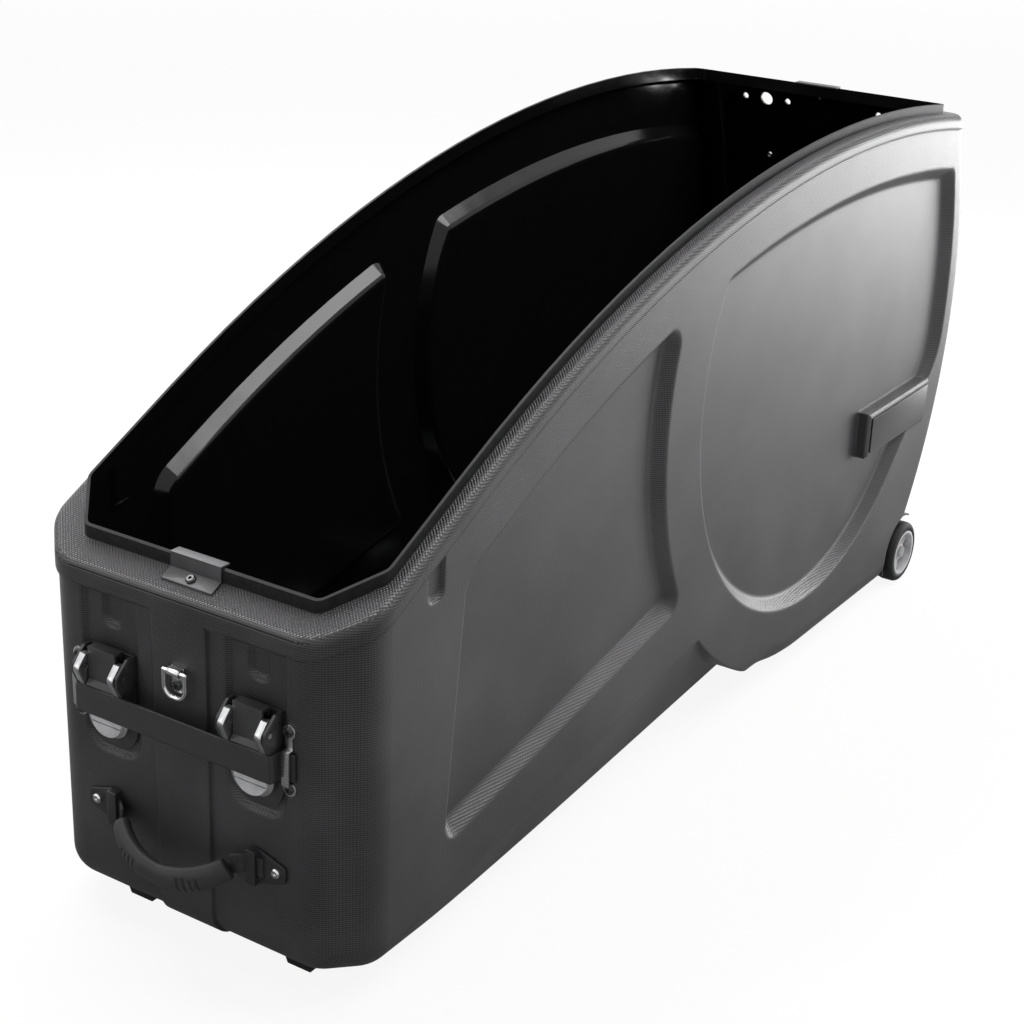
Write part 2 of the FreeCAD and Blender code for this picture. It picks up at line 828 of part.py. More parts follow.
def round_edges(body, points, radius):
    """Rounds the body's edges nearest the given points."""
    doc.recompute()
    base = body.Tip
    names = []
    for point in points:
        place = Vector(*[value(expression) for expression in point])
        reach = [edge.CenterOfMass.distanceToPoint(place) for edge in base.Shape.Edges]
        names.append(f"Edge{reach.index(min(reach)) + 1}")
    feature = body.newObject("PartDesign::Fillet", body.Name + "_rounds")
    feature.Base = (base, names)
    feature.setExpression("Radius", named(radius))
    return body


def fuse(label, pieces):
    piece = doc.addObject("Part::MultiFuse", label)
    piece.Shapes = pieces
    piece.Refine = True
    return piece


def cut(label, base, tools):
    piece = doc.addObject("Part::Cut", label)
    piece.Base = base
    piece.Tool = tools[0] if len(tools) == 1 else fuse(label + "_tools", tools)
    piece.Refine = True
    return piece


def group(label, solids):
    return node(label, solid(label, Part.makeCompound(solids)))


def screw(seat, outward, length):
    """A bevel-head screw; seat is the point under the head and outward the way the head faces."""
    head = Part.makeCylinder(s.screw_head_r, s.screw_head_height, seat, outward)
    crown = max(head.Edges, key=lambda edge: edge.CenterOfMass.dot(outward))
    head = head.makeChamfer(s.screw_head_bevel, [crown])
    shank = Part.makeCylinder(s.screw_r, length, seat, outward * -1)
    drive_seat = seat + outward * (s.screw_head_height - s.drive_depth)
    drive = Part.makeCylinder(s.drive_r, s.screw_head_height, drive_seat, outward)
    return head.fuse(shank).cut(drive)


shell_holes = []


def drill(seat, outward, radius):
    """Notes a hole in the shell on the axis of a fastener."""
    start = seat + outward * s.screw_length
    shell_holes.append(Part.makeCylinder(radius, 2 * s.screw_length + s.overrun, start, outward * -1))


def fastened(places, outward, length):
    """Screws on the given seats, each with its hole in the shell."""
    for seat in places:
        drill(seat, outward, s.screw_r + s.hole_gap)
    return [screw(seat, outward, length) for seat in places]


SCREW_HOLE = "screw_r + hole_gap"
AHEAD = Vector(-1, 0, 0)
UP = Vector(0, 0, 1)

# Draw latches


def latch_outline(points):
    return [(latch_out(reach), z) for reach, z in points]


CHEEK = latch_outline([
    ("latch_plate", "cheek_foot_z"),
    ("latch_plate + cheek_step", "cheek_foot_z"),
    ("lever_pin_out + cheek_nose", "lever_pin_z - cheek_nose"),
    ("lever_pin_out + cheek_nose", "lever_pin_z + cheek_nose / 2"),
    ("latch_plate + cheek_step", "latch_top_z"),
    ("latch_plate", "latch_top_z"),
])
LEVER_ARM = latch_outline([
    ("arm_top_out", "arm_top_z"),
    ("arm_top_out + arm_thickness", "arm_top_z"),
    ("arm_knee_out", "lever_pin_z"),
    ("arm_waist_out", "arm_waist_z"),
    ("lever_reach", "lever_bend_z"),
    ("lever_reach", "lever_bend_z - arm_thickness"),
    ("lever_reach - arm_thickness", "lever_bend_z - arm_thickness"),
    ("arm_waist_out - arm_thickness", "arm_waist_z - arm_thickness"),
    ("lever_pin_out - arm_thickness", "lever_pin_z - arm_thickness"),
    ("arm_top_out", "lever_pin_z + arm_thickness"),
])
HOOK = latch_outline([
    ("hook_pin_out - hook_eye", "hook_pin_z - hook_eye"),
    ("hook_pin_out + hook_eye", "hook_pin_z - hook_eye"),
    ("hook_pin_out + hook_eye", "hook_pin_z + hook_eye"),
    ("hook_pin_out", "hook_pin_z + 2 * hook_eye"),
    ("hook_pin_out", "hook_top_z"),
    ("hook_pin_out - hook_claw - hook_plate", "hook_top_z"),
    ("hook_pin_out - hook_claw - hook_plate", "hook_top_z - hook_claw"),
    ("hook_pin_out - hook_claw", "hook_top_z - hook_claw"),
    ("hook_pin_out - hook_claw", "hook_top_z - hook_plate"),
    ("hook_pin_out - hook_plate", "hook_top_z - hook_plate"),
    ("hook_pin_out - hook_plate", "hook_pin_z + 2 * hook_eye"),
    ("hook_pin_out - hook_eye", "hook_pin_z + hook_eye"),
])
ARM_SIDE = "latch_width / 2 - cheek_thickness - side_gap"
LEVER_PIN = (latch_out("lever_pin_out"), "lever_pin_z")
HOOK_PIN = (latch_out("hook_pin_out"), "hook_pin_z")


def upright_plate(label, centre, half, low_z, high_z, back, thickness, foot_r, holes=()):
    """An upright plate across the case with its two lower corners rounded."""
    corners = [(f"{centre} - {half}", low_z), (f"{centre} + {half}", low_z)]
    corners += [(f"{centre} + {half}", high_z), (f"{centre} - {half}", high_z)]
    body = pad(label, "YZ", corners, back, thickness, holes)
    middle = f"{back} + {thickness} / 2"
    return round_edges(body, [(middle, y, z) for y, z in corners[:2]], foot_r)


for name, side in SIDES.items():
    centre = f"{side} * latch_half_spacing"
    rivets = [(centre, "latch_screw_low_z", SCREW_HOLE), (centre, "latch_screw_high_z", SCREW_HOLE)]
    plate = upright_plate(
        f"latch_plate_{name}", centre, "latch_width / 2", "latch_foot_z", "latch_top_z",
        latch_out("latch_plate"), "latch_plate", "latch_foot_r", rivets,
    )
    pin_hole = [LEVER_PIN + ("lever_pin_r",)]
    cheeks = []
    for end, start in (("low", "-latch_width / 2"), ("high", "latch_width / 2 - cheek_thickness")):
        y = f"{centre} + ({start})"
        cheek = pad(f"{end}_cheek_{name}", "XZ", CHEEK, y, "cheek_thickness", pin_hole)
        nose = [(x, f"{y} + cheek_thickness / 2", z) for x, z in CHEEK[2:4]]
        cheeks.append(round_edges(cheek, nose, "cheek_round"))
    node(f"latch_base_{name}", fuse(f"latch_base_{name}", [plate] + cheeks))

    arm_holes = [LEVER_PIN + ("lever_pin_r + running_gap",), HOOK_PIN + ("hook_pin_r",)]
    arms = []
    for end, start in (("low", f"-({ARM_SIDE})"), ("high", f"{ARM_SIDE} - lever_arm")):
        y = f"{centre} + ({start})"
        arm = pad(f"{end}_arm_{name}", "XZ", LEVER_ARM, y, "lever_arm", arm_holes)
        knee = [(x, f"{y} + lever_arm / 2", z) for x, z in LEVER_ARM[2:4]]
        arms.append(round_edges(arm, knee, "arm_round"))
    face = upright_plate(
        f"lever_face_{name}", centre, f"({ARM_SIDE})", "tongue_foot_z", "lever_bend_z",
        latch_out("lever_reach"), "lever_plate", "tongue_r",
    )
    node(f"latch_lever_{name}", fuse(f"latch_lever_{name}", arms + [face]))

    tongue = upright_plate(
        f"tongue_{name}", centre, "tongue_width / 2", "tongue_foot_z", "tongue_top_z",
        latch_out("lever_reach + tongue_thickness"), "tongue_thickness", "tongue_r",
    )
    grooves = []
    for count in range(2, 6):
        low = (latch_out("lever_reach + tongue_thickness"), f"{centre} - tongue_width / 2",
               f"tongue_foot_z + {count} * tongue_pitch")
        grooves.append(box(f"groove_{name}_{count}", low, ("tongue_groove", "tongue_width", "tongue_groove")))
    node(f"latch_tongue_{name}", cut(f"latch_tongue_{name}", tongue, grooves))

    pin_length = f"2 * ({ARM_SIDE})"
    pin_low = (HOOK_PIN[0], f"{centre} - ({pin_length}) / 2", HOOK_PIN[1])
    node(f"latch_hook_pin_{name}", rod(f"latch_hook_pin_{name}", "hook_pin_r", pin_length, pin_low, "Y"))
    hook_hole = [HOOK_PIN + ("hook_pin_r + running_gap",)]
    hook = pad(f"hook_{name}", "XZ", HOOK, f"{centre} - hook_width / 2", "hook_width", hook_hole)
    node(f"latch_hook_{name}", hook)

pivots = []
for side in SIDES.values():
    for end in (-1, 1):
        outer = side * s.latch_half_spacing + end * s.latch_width / 2
        low = Vector(value(LEVER_PIN[0]), outer, value(LEVER_PIN[1]))
        length = s.cheek_thickness + s.side_gap + s.lever_arm
        pivots.append(Part.makeCylinder(s.lever_pin_r, length, low, Vector(0, -end, 0)))
group("latch_pivot_pins", pivots)
rivet_x = value(latch_out("latch_plate"))
rivet_heights = (s.latch_screw_low_z, s.latch_screw_high_z)
seats = [Vector(rivet_x, side * s.latch_half_spacing, z) for side in SIDES.values() for z in rivet_heights]
group("latch_rivets", fastened(seats, AHEAD, s.screw_length))

# Strap and its anchors

STRAP_LOW = "strap_z - strap_width / 2 - strap_slack"
STRAP_HIGH = "strap_z + strap_width / 2 + strap_slack"
ANCHOR = [(out(reach), z) for reach, z in [
    ("0", "anchor_low_z"),
    ("anchor_sheet", "anchor_low_z"),
    ("anchor_sheet", f"{STRAP_LOW} - anchor_sheet"),
    ("anchor_rise", f"{STRAP_LOW} - anchor_sheet"),
    ("anchor_rise", f"{STRAP_HIGH} + anchor_sheet"),
    ("anchor_sheet", f"{STRAP_HIGH} + anchor_sheet"),
    ("anchor_sheet", "anchor_high_z"),
    ("0", "anchor_high_z"),
    ("0", STRAP_HIGH),
    ("anchor_rise - anchor_sheet", STRAP_HIGH),
    ("anchor_rise - anchor_sheet", STRAP_LOW),
    ("0", STRAP_LOW),
]]
seats = []
for name, side in SIDES.items():
    y = f"{side} * anchor_half_spacing"
    band = pad(f"anchor_strip_{name}", "XZ", ANCHOR, f"{y} - anchor_width / 2", "anchor_width")
    eyes = []
    eye_holes = []
    for z in ("anchor_low_z", "anchor_high_z"):
        low = (out("anchor_sheet"), y, z)
        eyes.append(rod(f"{z}_eye_{name}", "anchor_eye_r", "anchor_sheet", low, "X"))
        eye_holes.append(rod(f"{z}_hole_{name}", SCREW_HOLE, "anchor_sheet", low, "X"))
        seats.append(Vector(FRONT_X - s.anchor_sheet, side * s.anchor_half_spacing, value(z)))
    blank = fuse(f"anchor_blank_{name}", [band] + eyes)
    node(f"strap_anchor_{name}", cut(f"strap_anchor_{name}", blank, eye_holes))
group("anchor_rivets", fastened(seats, AHEAD, s.screw_length))


def strip(path, thickness, low_z, height):
    """A band of even thickness along plan points, standing upright."""
    left, right = [], []
    for index, point in enumerate(path):
        before = point - path[index - 1] if index else path[1] - point
        after = path[index + 1] - point if index + 1 < len(path) else before
        first = Vector(-before.y, before.x, 0).normalize()
        second = Vector(-after.y, after.x, 0).normalize()
        mitre = (first + second).normalize()
        offset = mitre * (thickness / 2 / mitre.dot(first))
        left.append(point + offset)
        right.append(point - offset)
    corners = left + right[::-1]
    face = Part.Face(Part.makePolygon(corners + corners[:1]))
    face.translate(Vector(0, 0, low_z))
    return face.extrude(Vector(0, 0, height))


def mirrored_path(half):
    """Plan points for one side, (out from the wall, y), joined to their mirror images."""
    points = [Vector(FRONT_X - reach, y, 0) for reach, y in half]
    return points + [Vector(point.x, -point.y, 0) for point in reversed(points)]


lever_side = s.latch_half_spacing + s.latch_width / 2
strap_out = s.arm_waist_out - s.flute_depth + s.strap_slack + s.strap_thickness / 2
under_bridge = (s.anchor_rise - s.anchor_sheet) / 2
strap_side = lever_side + s.strap_slack + s.strap_thickness / 2
strap_path = mirrored_path([
    (under_bridge, s.anchor_half_spacing + s.anchor_eye_r),
    (under_bridge, strap_side + s.strap_thickness),
    (s.anchor_rise, strap_side),
    (strap_out - s.strap_thickness, strap_side),
    (strap_out, strap_side - s.strap_thickness),
])
strap_shape = strip(strap_path, s.strap_thickness, s.strap_z - s.strap_width / 2, s.strap_width)
node("latch_strap", solid("latch_strap", strap_shape))

# Padlock ring

BAND = "band_rise"
LOCK_Z = "lock_z + lock_bar_rise"
knuckle_r = "lock_wire_r + running_gap + lock_knuckle_wall"
lock_plate = upright_plate(
    "lock_plate_blank", "0", "lock_plate_width / 2", "lock_z - lock_plate_width / 2", f"{LOCK_Z} + {knuckle_r}",
    out(f"{BAND} + lock_plate"), "lock_plate", "lock_foot_r", [("0", "lock_z", SCREW_HOLE)],
)
block_low = (out(f"{BAND} + lock_bar_out"), "-lock_knuckle / 2", f"{LOCK_Z} - ({knuckle_r})")
block = box("lock_block", block_low, ("lock_bar_out - lock_plate", "lock_knuckle", f"2 * ({knuckle_r})"))
bar_place = (out(f"{BAND} + lock_bar_out"), "-lock_knuckle / 2", LOCK_Z)
knuckle = rod("lock_knuckle_tube", knuckle_r, "lock_knuckle", bar_place, "Y")
bore = rod("lock_bore", "lock_wire_r + running_gap", "lock_knuckle", bar_place, "Y")
lock_blank = fuse("lock_blank", [lock_plate, block, knuckle])
node("lock_plate", cut("lock_plate", lock_blank, [bore]))
lock_x = value(out(f"{BAND} + lock_bar_out"))
bar_z = s.lock_z + s.lock_bar_rise
half, drop = s.lock_ring_half, s.lock_ring_drop
corner_r = half - s.lock_wire_r
corner = corner_r * (1 - DIAGONAL)
top_left, top_right = Vector(lock_x, -half, bar_z), Vector(lock_x, half, bar_z)
low_left, low_right = Vector(lock_x, -half, bar_z - drop + corner_r), Vector(lock_x, half, bar_z - drop + corner_r)
foot_left = Vector(lock_x, corner_r - half, bar_z - drop)
foot_right = Vector(lock_x, half - corner_r, bar_z - drop)
bend_left = Vector(lock_x, corner - half, bar_z - drop + corner)
bend_right = Vector(lock_x, half - corner, bar_z - drop + corner)
wire = Part.Wire([
    line(top_left, low_left),
    arc(low_left, bend_left, foot_left),
    line(foot_left, foot_right),
    arc(foot_right, bend_right, low_right),
    line(low_right, top_right),
])
section = Part.Wire(Part.makeCircle(s.lock_wire_r, top_left, Vector(0, 0, 1)))
bow = wire.makePipeShell([section], True, True)
bar = Part.makeCylinder(s.lock_wire_r, 2 * half, top_left, Vector(0, 1, 0))
ends = [Part.makeSphere(s.lock_wire_r, point) for point in (top_left, top_right)]
node("lock_ring", solid("lock_ring", bow.fuse([bar] + ends)))
lock_seat = Vector(FRONT_X - s.band_rise - s.lock_plate, 0, s.lock_z)
group("lock_plate_screw", fastened([lock_seat], AHEAD, s.screw_length))

# Carry handle

seats = []
for name, side in SIDES.items():
    screw_y = f"{side} * handle_screw_half"
    half_height = "handle_plate_height / 2"
    bridge_edge = "(handle_bridge_half + handle_bridge / 2)"
    inner_edge = "(handle_bridge_half - handle_bridge / 2)"
    low_half = [(inner_edge, f"handle_z - {half_height}"), (bridge_edge, f"handle_z - {half_height}"),
                ("handle_tip", "handle_z - handle_tip_half"), ("handle_tip", "handle_z + handle_tip_half"),
                (bridge_edge, f"handle_z + {half_height}"), (inner_edge, f"handle_z + {half_height}")]
    corners = [(f"{side} * {y}", z) for y, z in low_half]
    plate = pad(f"handle_plate_{name}", "YZ", corners, out("handle_plate"), "handle_plate",
                [(screw_y, "handle_z", SCREW_HOLE)])
    tip = [(f"{out('handle_plate')} + handle_plate / 2", y, z) for y, z in corners[2:4]]
    round_edges(plate, tip, "handle_tip_half - handle_plate")
    bridge_low = (out("handle_plate + handle_bridge_rise"), f"{side} * handle_bridge_half - handle_bridge / 2",
                  f"handle_z - {half_height}")
    bridge = box(f"handle_bridge_{name}", bridge_low,
                 ("handle_bridge_rise", "handle_bridge", "handle_plate_height"))
    tunnel_low = (out("handle_plate + web_thickness + 2 * web_room"), bridge_low[1],
                  "handle_z - web_width / 2 - web_room")
    tunnel = box(f"handle_tunnel_{name}", tunnel_low,
                 ("web_thickness + 2 * web_room", "handle_bridge", "web_width + 2 * web_room"))
    blank = fuse(f"handle_blank_{name}", [plate, bridge])
    node(f"handle_bracket_{name}", cut(f"handle_bracket_{name}", blank, [tunnel]))
    seats.append(Vector(FRONT_X - s.handle_plate, side * s.handle_screw_half, s.handle_z))
group("handle_screws", fastened(seats, AHEAD, s.screw_length))

grip_end = Vector(FRONT_X - s.grip_end_out, s.grip_half, s.handle_z - s.grip_end_drop)
waist_deep = s.grip_deep * s.grip_waist_share
grip_middle = Vector(FRONT_X - s.front_reach + waist_deep, 0, s.handle_z - s.grip_drop)
grip_other = Vector(grip_end.x, -grip_end.y, grip_end.z)
bow = Part.Arc(grip_end, grip_middle, grip_other)
half_shares = [0.88, 0.95, 1, 1, 0.95]
grip_shares = half_shares + [s.grip_waist_share] + half_shares[::-1]
rings = []
for count, share in enumerate(grip_shares):
    turn = bow.FirstParameter + (bow.LastParameter - bow.FirstParameter) * count / (len(grip_shares) - 1)
    ring = Part.Ellipse(Vector(), s.grip_high * share, s.grip_deep * share).toShape()
    ring.Placement = Placement(bow.value(turn), Rotation(UP, Vector(), bow.tangent(turn)[0], "ZXY"))
    rings.append(Part.Wire(ring))
grip = Part.makeLoft(rings, True)
node("handle_grip", solid("handle_grip", grip))
web_out = s.handle_plate + s.web_room + s.web_thickness / 2
for name, side in SIDES.items():
    inner = s.handle_bridge_half - s.handle_bridge / 2
    outer = s.handle_bridge_half + s.handle_bridge
    path = [
        Vector(FRONT_X - web_out, side * outer, 0),
        Vector(FRONT_X - web_out, side * inner, 0),
        Vector(FRONT_X - s.grip_end_out, side * s.grip_half, 0),
    ]
    web = strip(path, s.web_thickness, s.handle_z - s.web_width / 2, s.web_width).cut(grip)
    node(f"handle_webbing_{name}", solid(f"handle_webbing_{name}", max(web.Solids, key=lambda part: part.Volume)))

# Front feet

seats = []
for name, side in SIDES.items():
    blank = doc.addObject("Part::Wedge", f"foot_blank_{name}")
    limits = {
        "Xmin": "0", "Xmax": "foot_length", "Ymin": "0", "Ymax": "front_floor_z", "Zmin": "0", "Zmax": "foot_width",
        "X2min": "foot_taper", "X2max": "foot_length - foot_taper",
        "Z2min": "foot_taper", "Z2max": "foot_width - foot_taper",
    }
    for limit, expression in limits.items():
        blank.setExpression(limit, named(expression))
    blank.Placement = Placement(Vector(), Rotation(Vector(1, 0, 0), -90))
    low = (f"{FRONT} + foot_station", f"{side} * foot_half_spacing - foot_width / 2", "front_floor_z")
    for letter, expression in zip("xyz", low):
        blank.setExpression(f"Placement.Base.{letter}", named(expression))
    middle = (f"{FRONT} + foot_station + foot_length / 2", f"{side} * foot_half_spacing", "0")
    sink = rod(f"foot_sink_{name}", "screw_head_r + side_gap", "foot_sink", middle, "Z")
    hole = rod(f"foot_hole_{name}", SCREW_HOLE, "front_floor_z", middle, "Z")
    node(f"front_foot_{name}", cut(f"front_foot_{name}", blank, [sink, hole]))
    seats.append(at(s.foot_station + s.foot_length / 2, s.foot_sink, side * s.foot_half_spacing))
group("foot_screws", fastened(seats, UP * -1, s.front_floor_z - s.foot_sink + s.wall + s.screw_head_height))

# Transport wheels

WHEEL_X = f"{REAR} - wheel_rear"
WHEEL_FACE = "case_width / 2 + wheel_overhang"
WELL_FACE = "case_width / 2 - well_depth"
TYRE_STEPS = 4
SPOKES = 6
wheel_x = REAR_X - s.wheel_rear
well_y = HALF_WIDTH - s.well_depth


def tyre(side):
    """A turned tyre with rounded shoulders, in short steps."""
    face = HALF_WIDTH + s.wheel_overhang
    inner_r, outer_r = s.wheel_r - s.tyre_wall, s.wheel_r
    shoulder = []
    for count in range(TYRE_STEPS + 1):
        angle = math.pi / 2 * count / TYRE_STEPS
        depth = s.tyre_round * (1 - math.sin(angle))
        shoulder.append((outer_r - s.tyre_round * (1 - math.cos(angle)), depth))
    near = [(inner_r, 0), *reversed(shoulder)]
    far = [(radius, s.wheel_width - depth) for radius, depth in reversed(near)]
    points = [Vector(wheel_x, side * (face - depth), s.wheel_r + radius) for radius, depth in near + far]
    section = Part.Face(Part.makePolygon(points + points[:1]))
    return section.revolve(Vector(wheel_x, 0, s.wheel_r), Vector(0, 1, 0), 360)


seats = {}
for name, side in SIDES.items():
    across = Vector(0, side, 0)

    def turned(label, radius, near, length, side=side):
        """A cylinder on the wheel axis from a distance off the middle plane, outwards by length."""
        low = f"{near}" if side == LEFT else f"-({near}) - ({length})"
        return rod(label, radius, length, (WHEEL_X, low, "wheel_r"), "Y")

    centre = Vector(wheel_x, side * well_y, s.wheel_r)
    fender_r = s.wheel_r + s.wheel_well_gap - s.seat_gap
    sweep = s.fender_end_deg - s.fender_start_deg
    start = Vector(math.cos(math.radians(s.fender_start_deg)), 0, math.sin(math.radians(s.fender_start_deg)))

    def sector(radius, depth, centre=centre, across=across, sweep=sweep, start=start):
        """A pie-shaped slice over the wheel, standing on the wall of the well."""
        rim_point = centre + start * radius
        slice_face = Part.Face(Part.makePolygon([centre, rim_point, rim_point + across * depth, centre + across * depth, centre]))
        return slice_face.revolve(centre, Vector(0, -1, 0), sweep)

    plate = sector(fender_r, s.bracket_plate)
    fender = sector(fender_r, s.well_depth - s.fender_wall).cut(sector(fender_r - s.fender_wall, s.well_depth))
    hub_face = s.well_depth + s.wheel_overhang - s.wheel_width - s.side_gap
    boss = Part.makeCylinder(s.bracket_boss_r, hub_face, centre, across)
    axle_hole = Part.makeCylinder(s.axle_r, s.well_depth, centre, across)
    shape = plate.fuse([fender, boss]).cut(axle_hole)
    seats[name] = []
    for turn in (s.bracket_low_share, s.bracket_high_share):
        angle = math.radians(s.fender_start_deg + turn * sweep)
        seat = circle_point(centre, s.bracket_screw_ring, angle) + across * s.bracket_plate
        hole = Part.makeCylinder(s.screw_r + s.hole_gap, s.well_depth, seat, across * -1)
        shape = shape.cut(hole)
        seats[name].append(seat)
    node(f"wheel_bracket_{name}", solid(f"wheel_bracket_{name}", shape))

    cap_near = f"{WHEEL_FACE} - hub_dish"
    shaft = turned(f"axle_shaft_{name}", "axle_r", WELL_FACE, f"{cap_near} - ({WELL_FACE})")
    cap = turned(f"axle_head_{name}", "axle_cap_r", cap_near, "axle_cap")
    node(f"wheel_axle_{name}", fuse(f"wheel_axle_{name}", [shaft, cap]))

    near = f"{WHEEL_FACE} - wheel_width"
    rim_r = "wheel_r - tyre_wall"
    rim = turned(f"hub_rim_{name}", rim_r, near, "wheel_width")
    hollow = turned(f"hub_hollow_{name}", f"{rim_r} - hub_rim", near, "wheel_width")
    ring = cut(f"hub_ring_{name}", rim, [hollow])
    core = turned(f"hub_core_{name}", "hub_r", near, "wheel_width - hub_dish - side_gap")
    spokes = []
    spoke_low = f"{near} + (wheel_width - hub_web) / 2"
    spoke_y = spoke_low if side == LEFT else f"-({spoke_low}) - hub_web"
    for count in range(SPOKES):
        degrees = 360 * count / SPOKES
        spoke = box(f"spoke_{name}_{count}", (WHEEL_X, spoke_y, "wheel_r"),
                    ("spoke_width", "hub_web", f"{rim_r} - hub_rim / 2"))
        spoke.Placement = Placement(spoke.Placement.Base, Rotation(Vector(0, 1, 0), degrees))
        spoke.setExpression("Placement.Base.x", named(f"{WHEEL_X} - spoke_width / 2 * cos({degrees})"))
        spoke.setExpression("Placement.Base.z", named(f"wheel_r + spoke_width / 2 * sin({degrees})"))
        spokes.append(spoke)
    hub_blank = fuse(f"hub_blank_{name}", [ring, core] + spokes)
    hub_bore = turned(f"hub_bore_{name}", "axle_r + running_gap", near, "wheel_width")
    node(f"wheel_hub_{name}", cut(f"wheel_hub_{name}", hub_blank, [hub_bore]))

    node(f"wheel_tyre_{name}", solid(f"wheel_tyre_{name}", tyre(side)))
bracket_screws = []
for name, side in SIDES.items():
    bracket_screws += fastened(seats[name], Vector(0, side, 0), s.screw_length)
group("wheel_bracket_screws", bracket_screws)

# Bare name plate on the raised pad of the -Y side

length = "badge_length - 2 * (badge_rise + badge_margin)"
height = "badge_height - 2 * (badge_rise + badge_margin)"
low_y = "-case_width / 2 - badge_rise - badge_thickness"
low = (f"{REAR} - badge_rear - ({length}) / 2", low_y, f"badge_z - ({height}) / 2")
node("name_plate", box("name_plate", low, (length, "badge_thickness", height)))

# Lid clips on the rim

ledge = Rim(s.lip_height)


def clip(points):
    """A bent strip across the middle of the case, given by its side view."""
    face = Part.Face(Part.makePolygon(points + points[:1]))
    face.translate(Vector(0, -s.clip_width / 2, 0))
    return face.extrude(Vector(0, s.clip_width, 0))


web_x = FRONT_X + s.lip_front_station - s.seat_gap
foot_x = web_x - s.clip_foot
foot, root = ledge.on_slope(foot_x), ledge.on_slope(web_x)
raise_by = Vector(0, 0, s.clip_sheet / math.cos(math.radians(s.rim_slope_deg)))
lip_back_x = FRONT_X + s.lip_front_station + s.lip_thickness
cover_z = Rim(0).on_slope(lip_back_x).z + s.seat_gap
shape = clip([
    foot,
    root,
    Vector(web_x, 0, cover_z),
    Vector(lip_back_x + s.clip_cover, 0, cover_z),
    Vector(lip_back_x + s.clip_cover, 0, cover_z + s.clip_sheet),
    Vector(web_x - s.clip_sheet, 0, cover_z + s.clip_sheet),
    ledge.on_slope(web_x - s.clip_sheet) + raise_by,
    foot + raise_by,
])
outward = Vector(-ledge.slope.z, 0, ledge.slope.x)
front_seat = ledge.on_slope(foot_x + s.clip_foot / 2) + outward * s.clip_sheet
hole_top = front_seat + outward * (s.overrun / 2)
hole = Part.makeCylinder(s.screw_r + s.hole_gap, s.overrun, hole_top, outward * -1)
node("front_lid_clip", solid("front_lid_clip", shape.cut(hole)))

web_x = REAR_X - s.lip_rear + s.seat_gap
foot_x = web_x + s.clip_foot
lip_back_x = REAR_X - s.lip_rear - s.lip_thickness
cover_z = Rim(0).on_arc(lip_back_x).z + s.seat_gap
rest = Vector(0, 0, s.seat_gap)
lift = Vector(0, 0, s.seat_gap + s.clip_sheet)
foot, root = ledge.on_arc(foot_x), ledge.on_arc(web_x)
top_foot, top_root = foot + lift, ledge.on_arc(web_x + s.clip_sheet) + lift
shape = clip([
    foot + rest,
    root + rest,
    Vector(web_x, 0, cover_z),
    Vector(lip_back_x - s.clip_cover, 0, cover_z),
    Vector(lip_back_x - s.clip_cover, 0, cover_z + s.clip_sheet),
    Vector(web_x + s.clip_sheet, 0, cover_z + s.clip_sheet),
    top_root,
    top_foot,
])
tilt = (top_foot - top_root).normalize()
rear_outward = Vector(-tilt.z, 0, tilt.x)
rear_seat = (top_foot + top_root) / 2
hole_top = rear_seat + rear_outward * (s.overrun / 2)
hole = Part.makeCylinder(s.screw_r + s.hole_gap, s.overrun, hole_top, rear_outward * -1)
node("rear_lid_clip", solid("rear_lid_clip", shape.cut(hole)))
clip_screws = fastened([front_seat], outward, s.screw_length) + fastened([rear_seat], rear_outward, s.screw_length)
group("clip_screws", clip_screws)

# Holes and bolts of the rear wall

rear_centre = at(s.case_length - s.rear_arc_r, s.rear_arc_z)
rim_rear_z = Rim(0).on_arc(REAR_X).z
rear_hole_z = rim_rear_z - s.rear_hole_drop
rear_bolt_z = rim_rear_z - s.rear_bolt_drop
rear_bolts = []
for side in SIDES.values():
    y = side * s.rear_hole_half_spacing
    reach = line_meets_circle(at(0, rear_hole_z), Vector(1, 0, 0), rear_centre, s.rear_arc_r, 1)
    start = Vector(reach.x - s.overrun, y, rear_hole_z)
    shell_holes.append(Part.makeCylinder(s.rear_hole_r, 2 * s.overrun, start, Vector(1, 0, 0)))
    for end in (-1, 1):
        spot = start + Vector(0, end * s.rear_side_hole_spacing / 2, 0)
        shell_holes.append(Part.makeCylinder(s.rear_side_hole_r, 2 * s.overrun, spot, Vector(1, 0, 0)))
    angle = math.asin((rear_bolt_z - s.rear_arc_z) / s.rear_arc_r)
    inward = Vector(-math.cos(angle), 0, -math.sin(angle))
    seat = rear_centre - inward * (s.rear_arc_r - s.wall - s.running_gap) + Vector(0, y, 0)
    rear_bolts += fastened([seat], inward, s.wall)
group("rear_wall_bolts", rear_bolts)

# Rail, fork mount and frame cradle inside

FLOOR = "front_floor_z + wall"
half, inner, slot = "rail_width / 2", "(rail_width / 2 - rail_wall)", "rail_slot / 2"
top, under = f"{FLOOR} + rail_height", f"{FLOOR} + rail_height - rail_wall"
right_half = [(half, FLOOR), (half, top), (slot, top), (slot, under), (inner, under), (inner, f"{FLOOR} + rail_wall")]
outline = right_half + [(f"-{y}", z) for y, z in reversed(right_half)]
RAIL_LENGTH = "(case_length - rail_rear - rail_station)"
rail = pad("rail_profile", "YZ", outline, f"{FRONT} + rail_station", RAIL_LENGTH)
stations = ["rail_station + rail_screw_inset", f"rail_station + {RAIL_LENGTH} / 2",
            f"rail_station + {RAIL_LENGTH} - rail_screw_inset"]
rail_holes = []
seats = []
for index, station in enumerate(stations):
    low = (f"{FRONT} + {station}", "0", FLOOR)
    rail_holes.append(rod(f"rail_hole_{index}", SCREW_HOLE, "rail_wall", low, "Z"))
    seats.append(at(value(station), value(FLOOR) + s.rail_wall))
node("bike_rail", cut("bike_rail", rail, rail_holes))
group("rail_screws", fastened(seats, UP, s.screw_length))

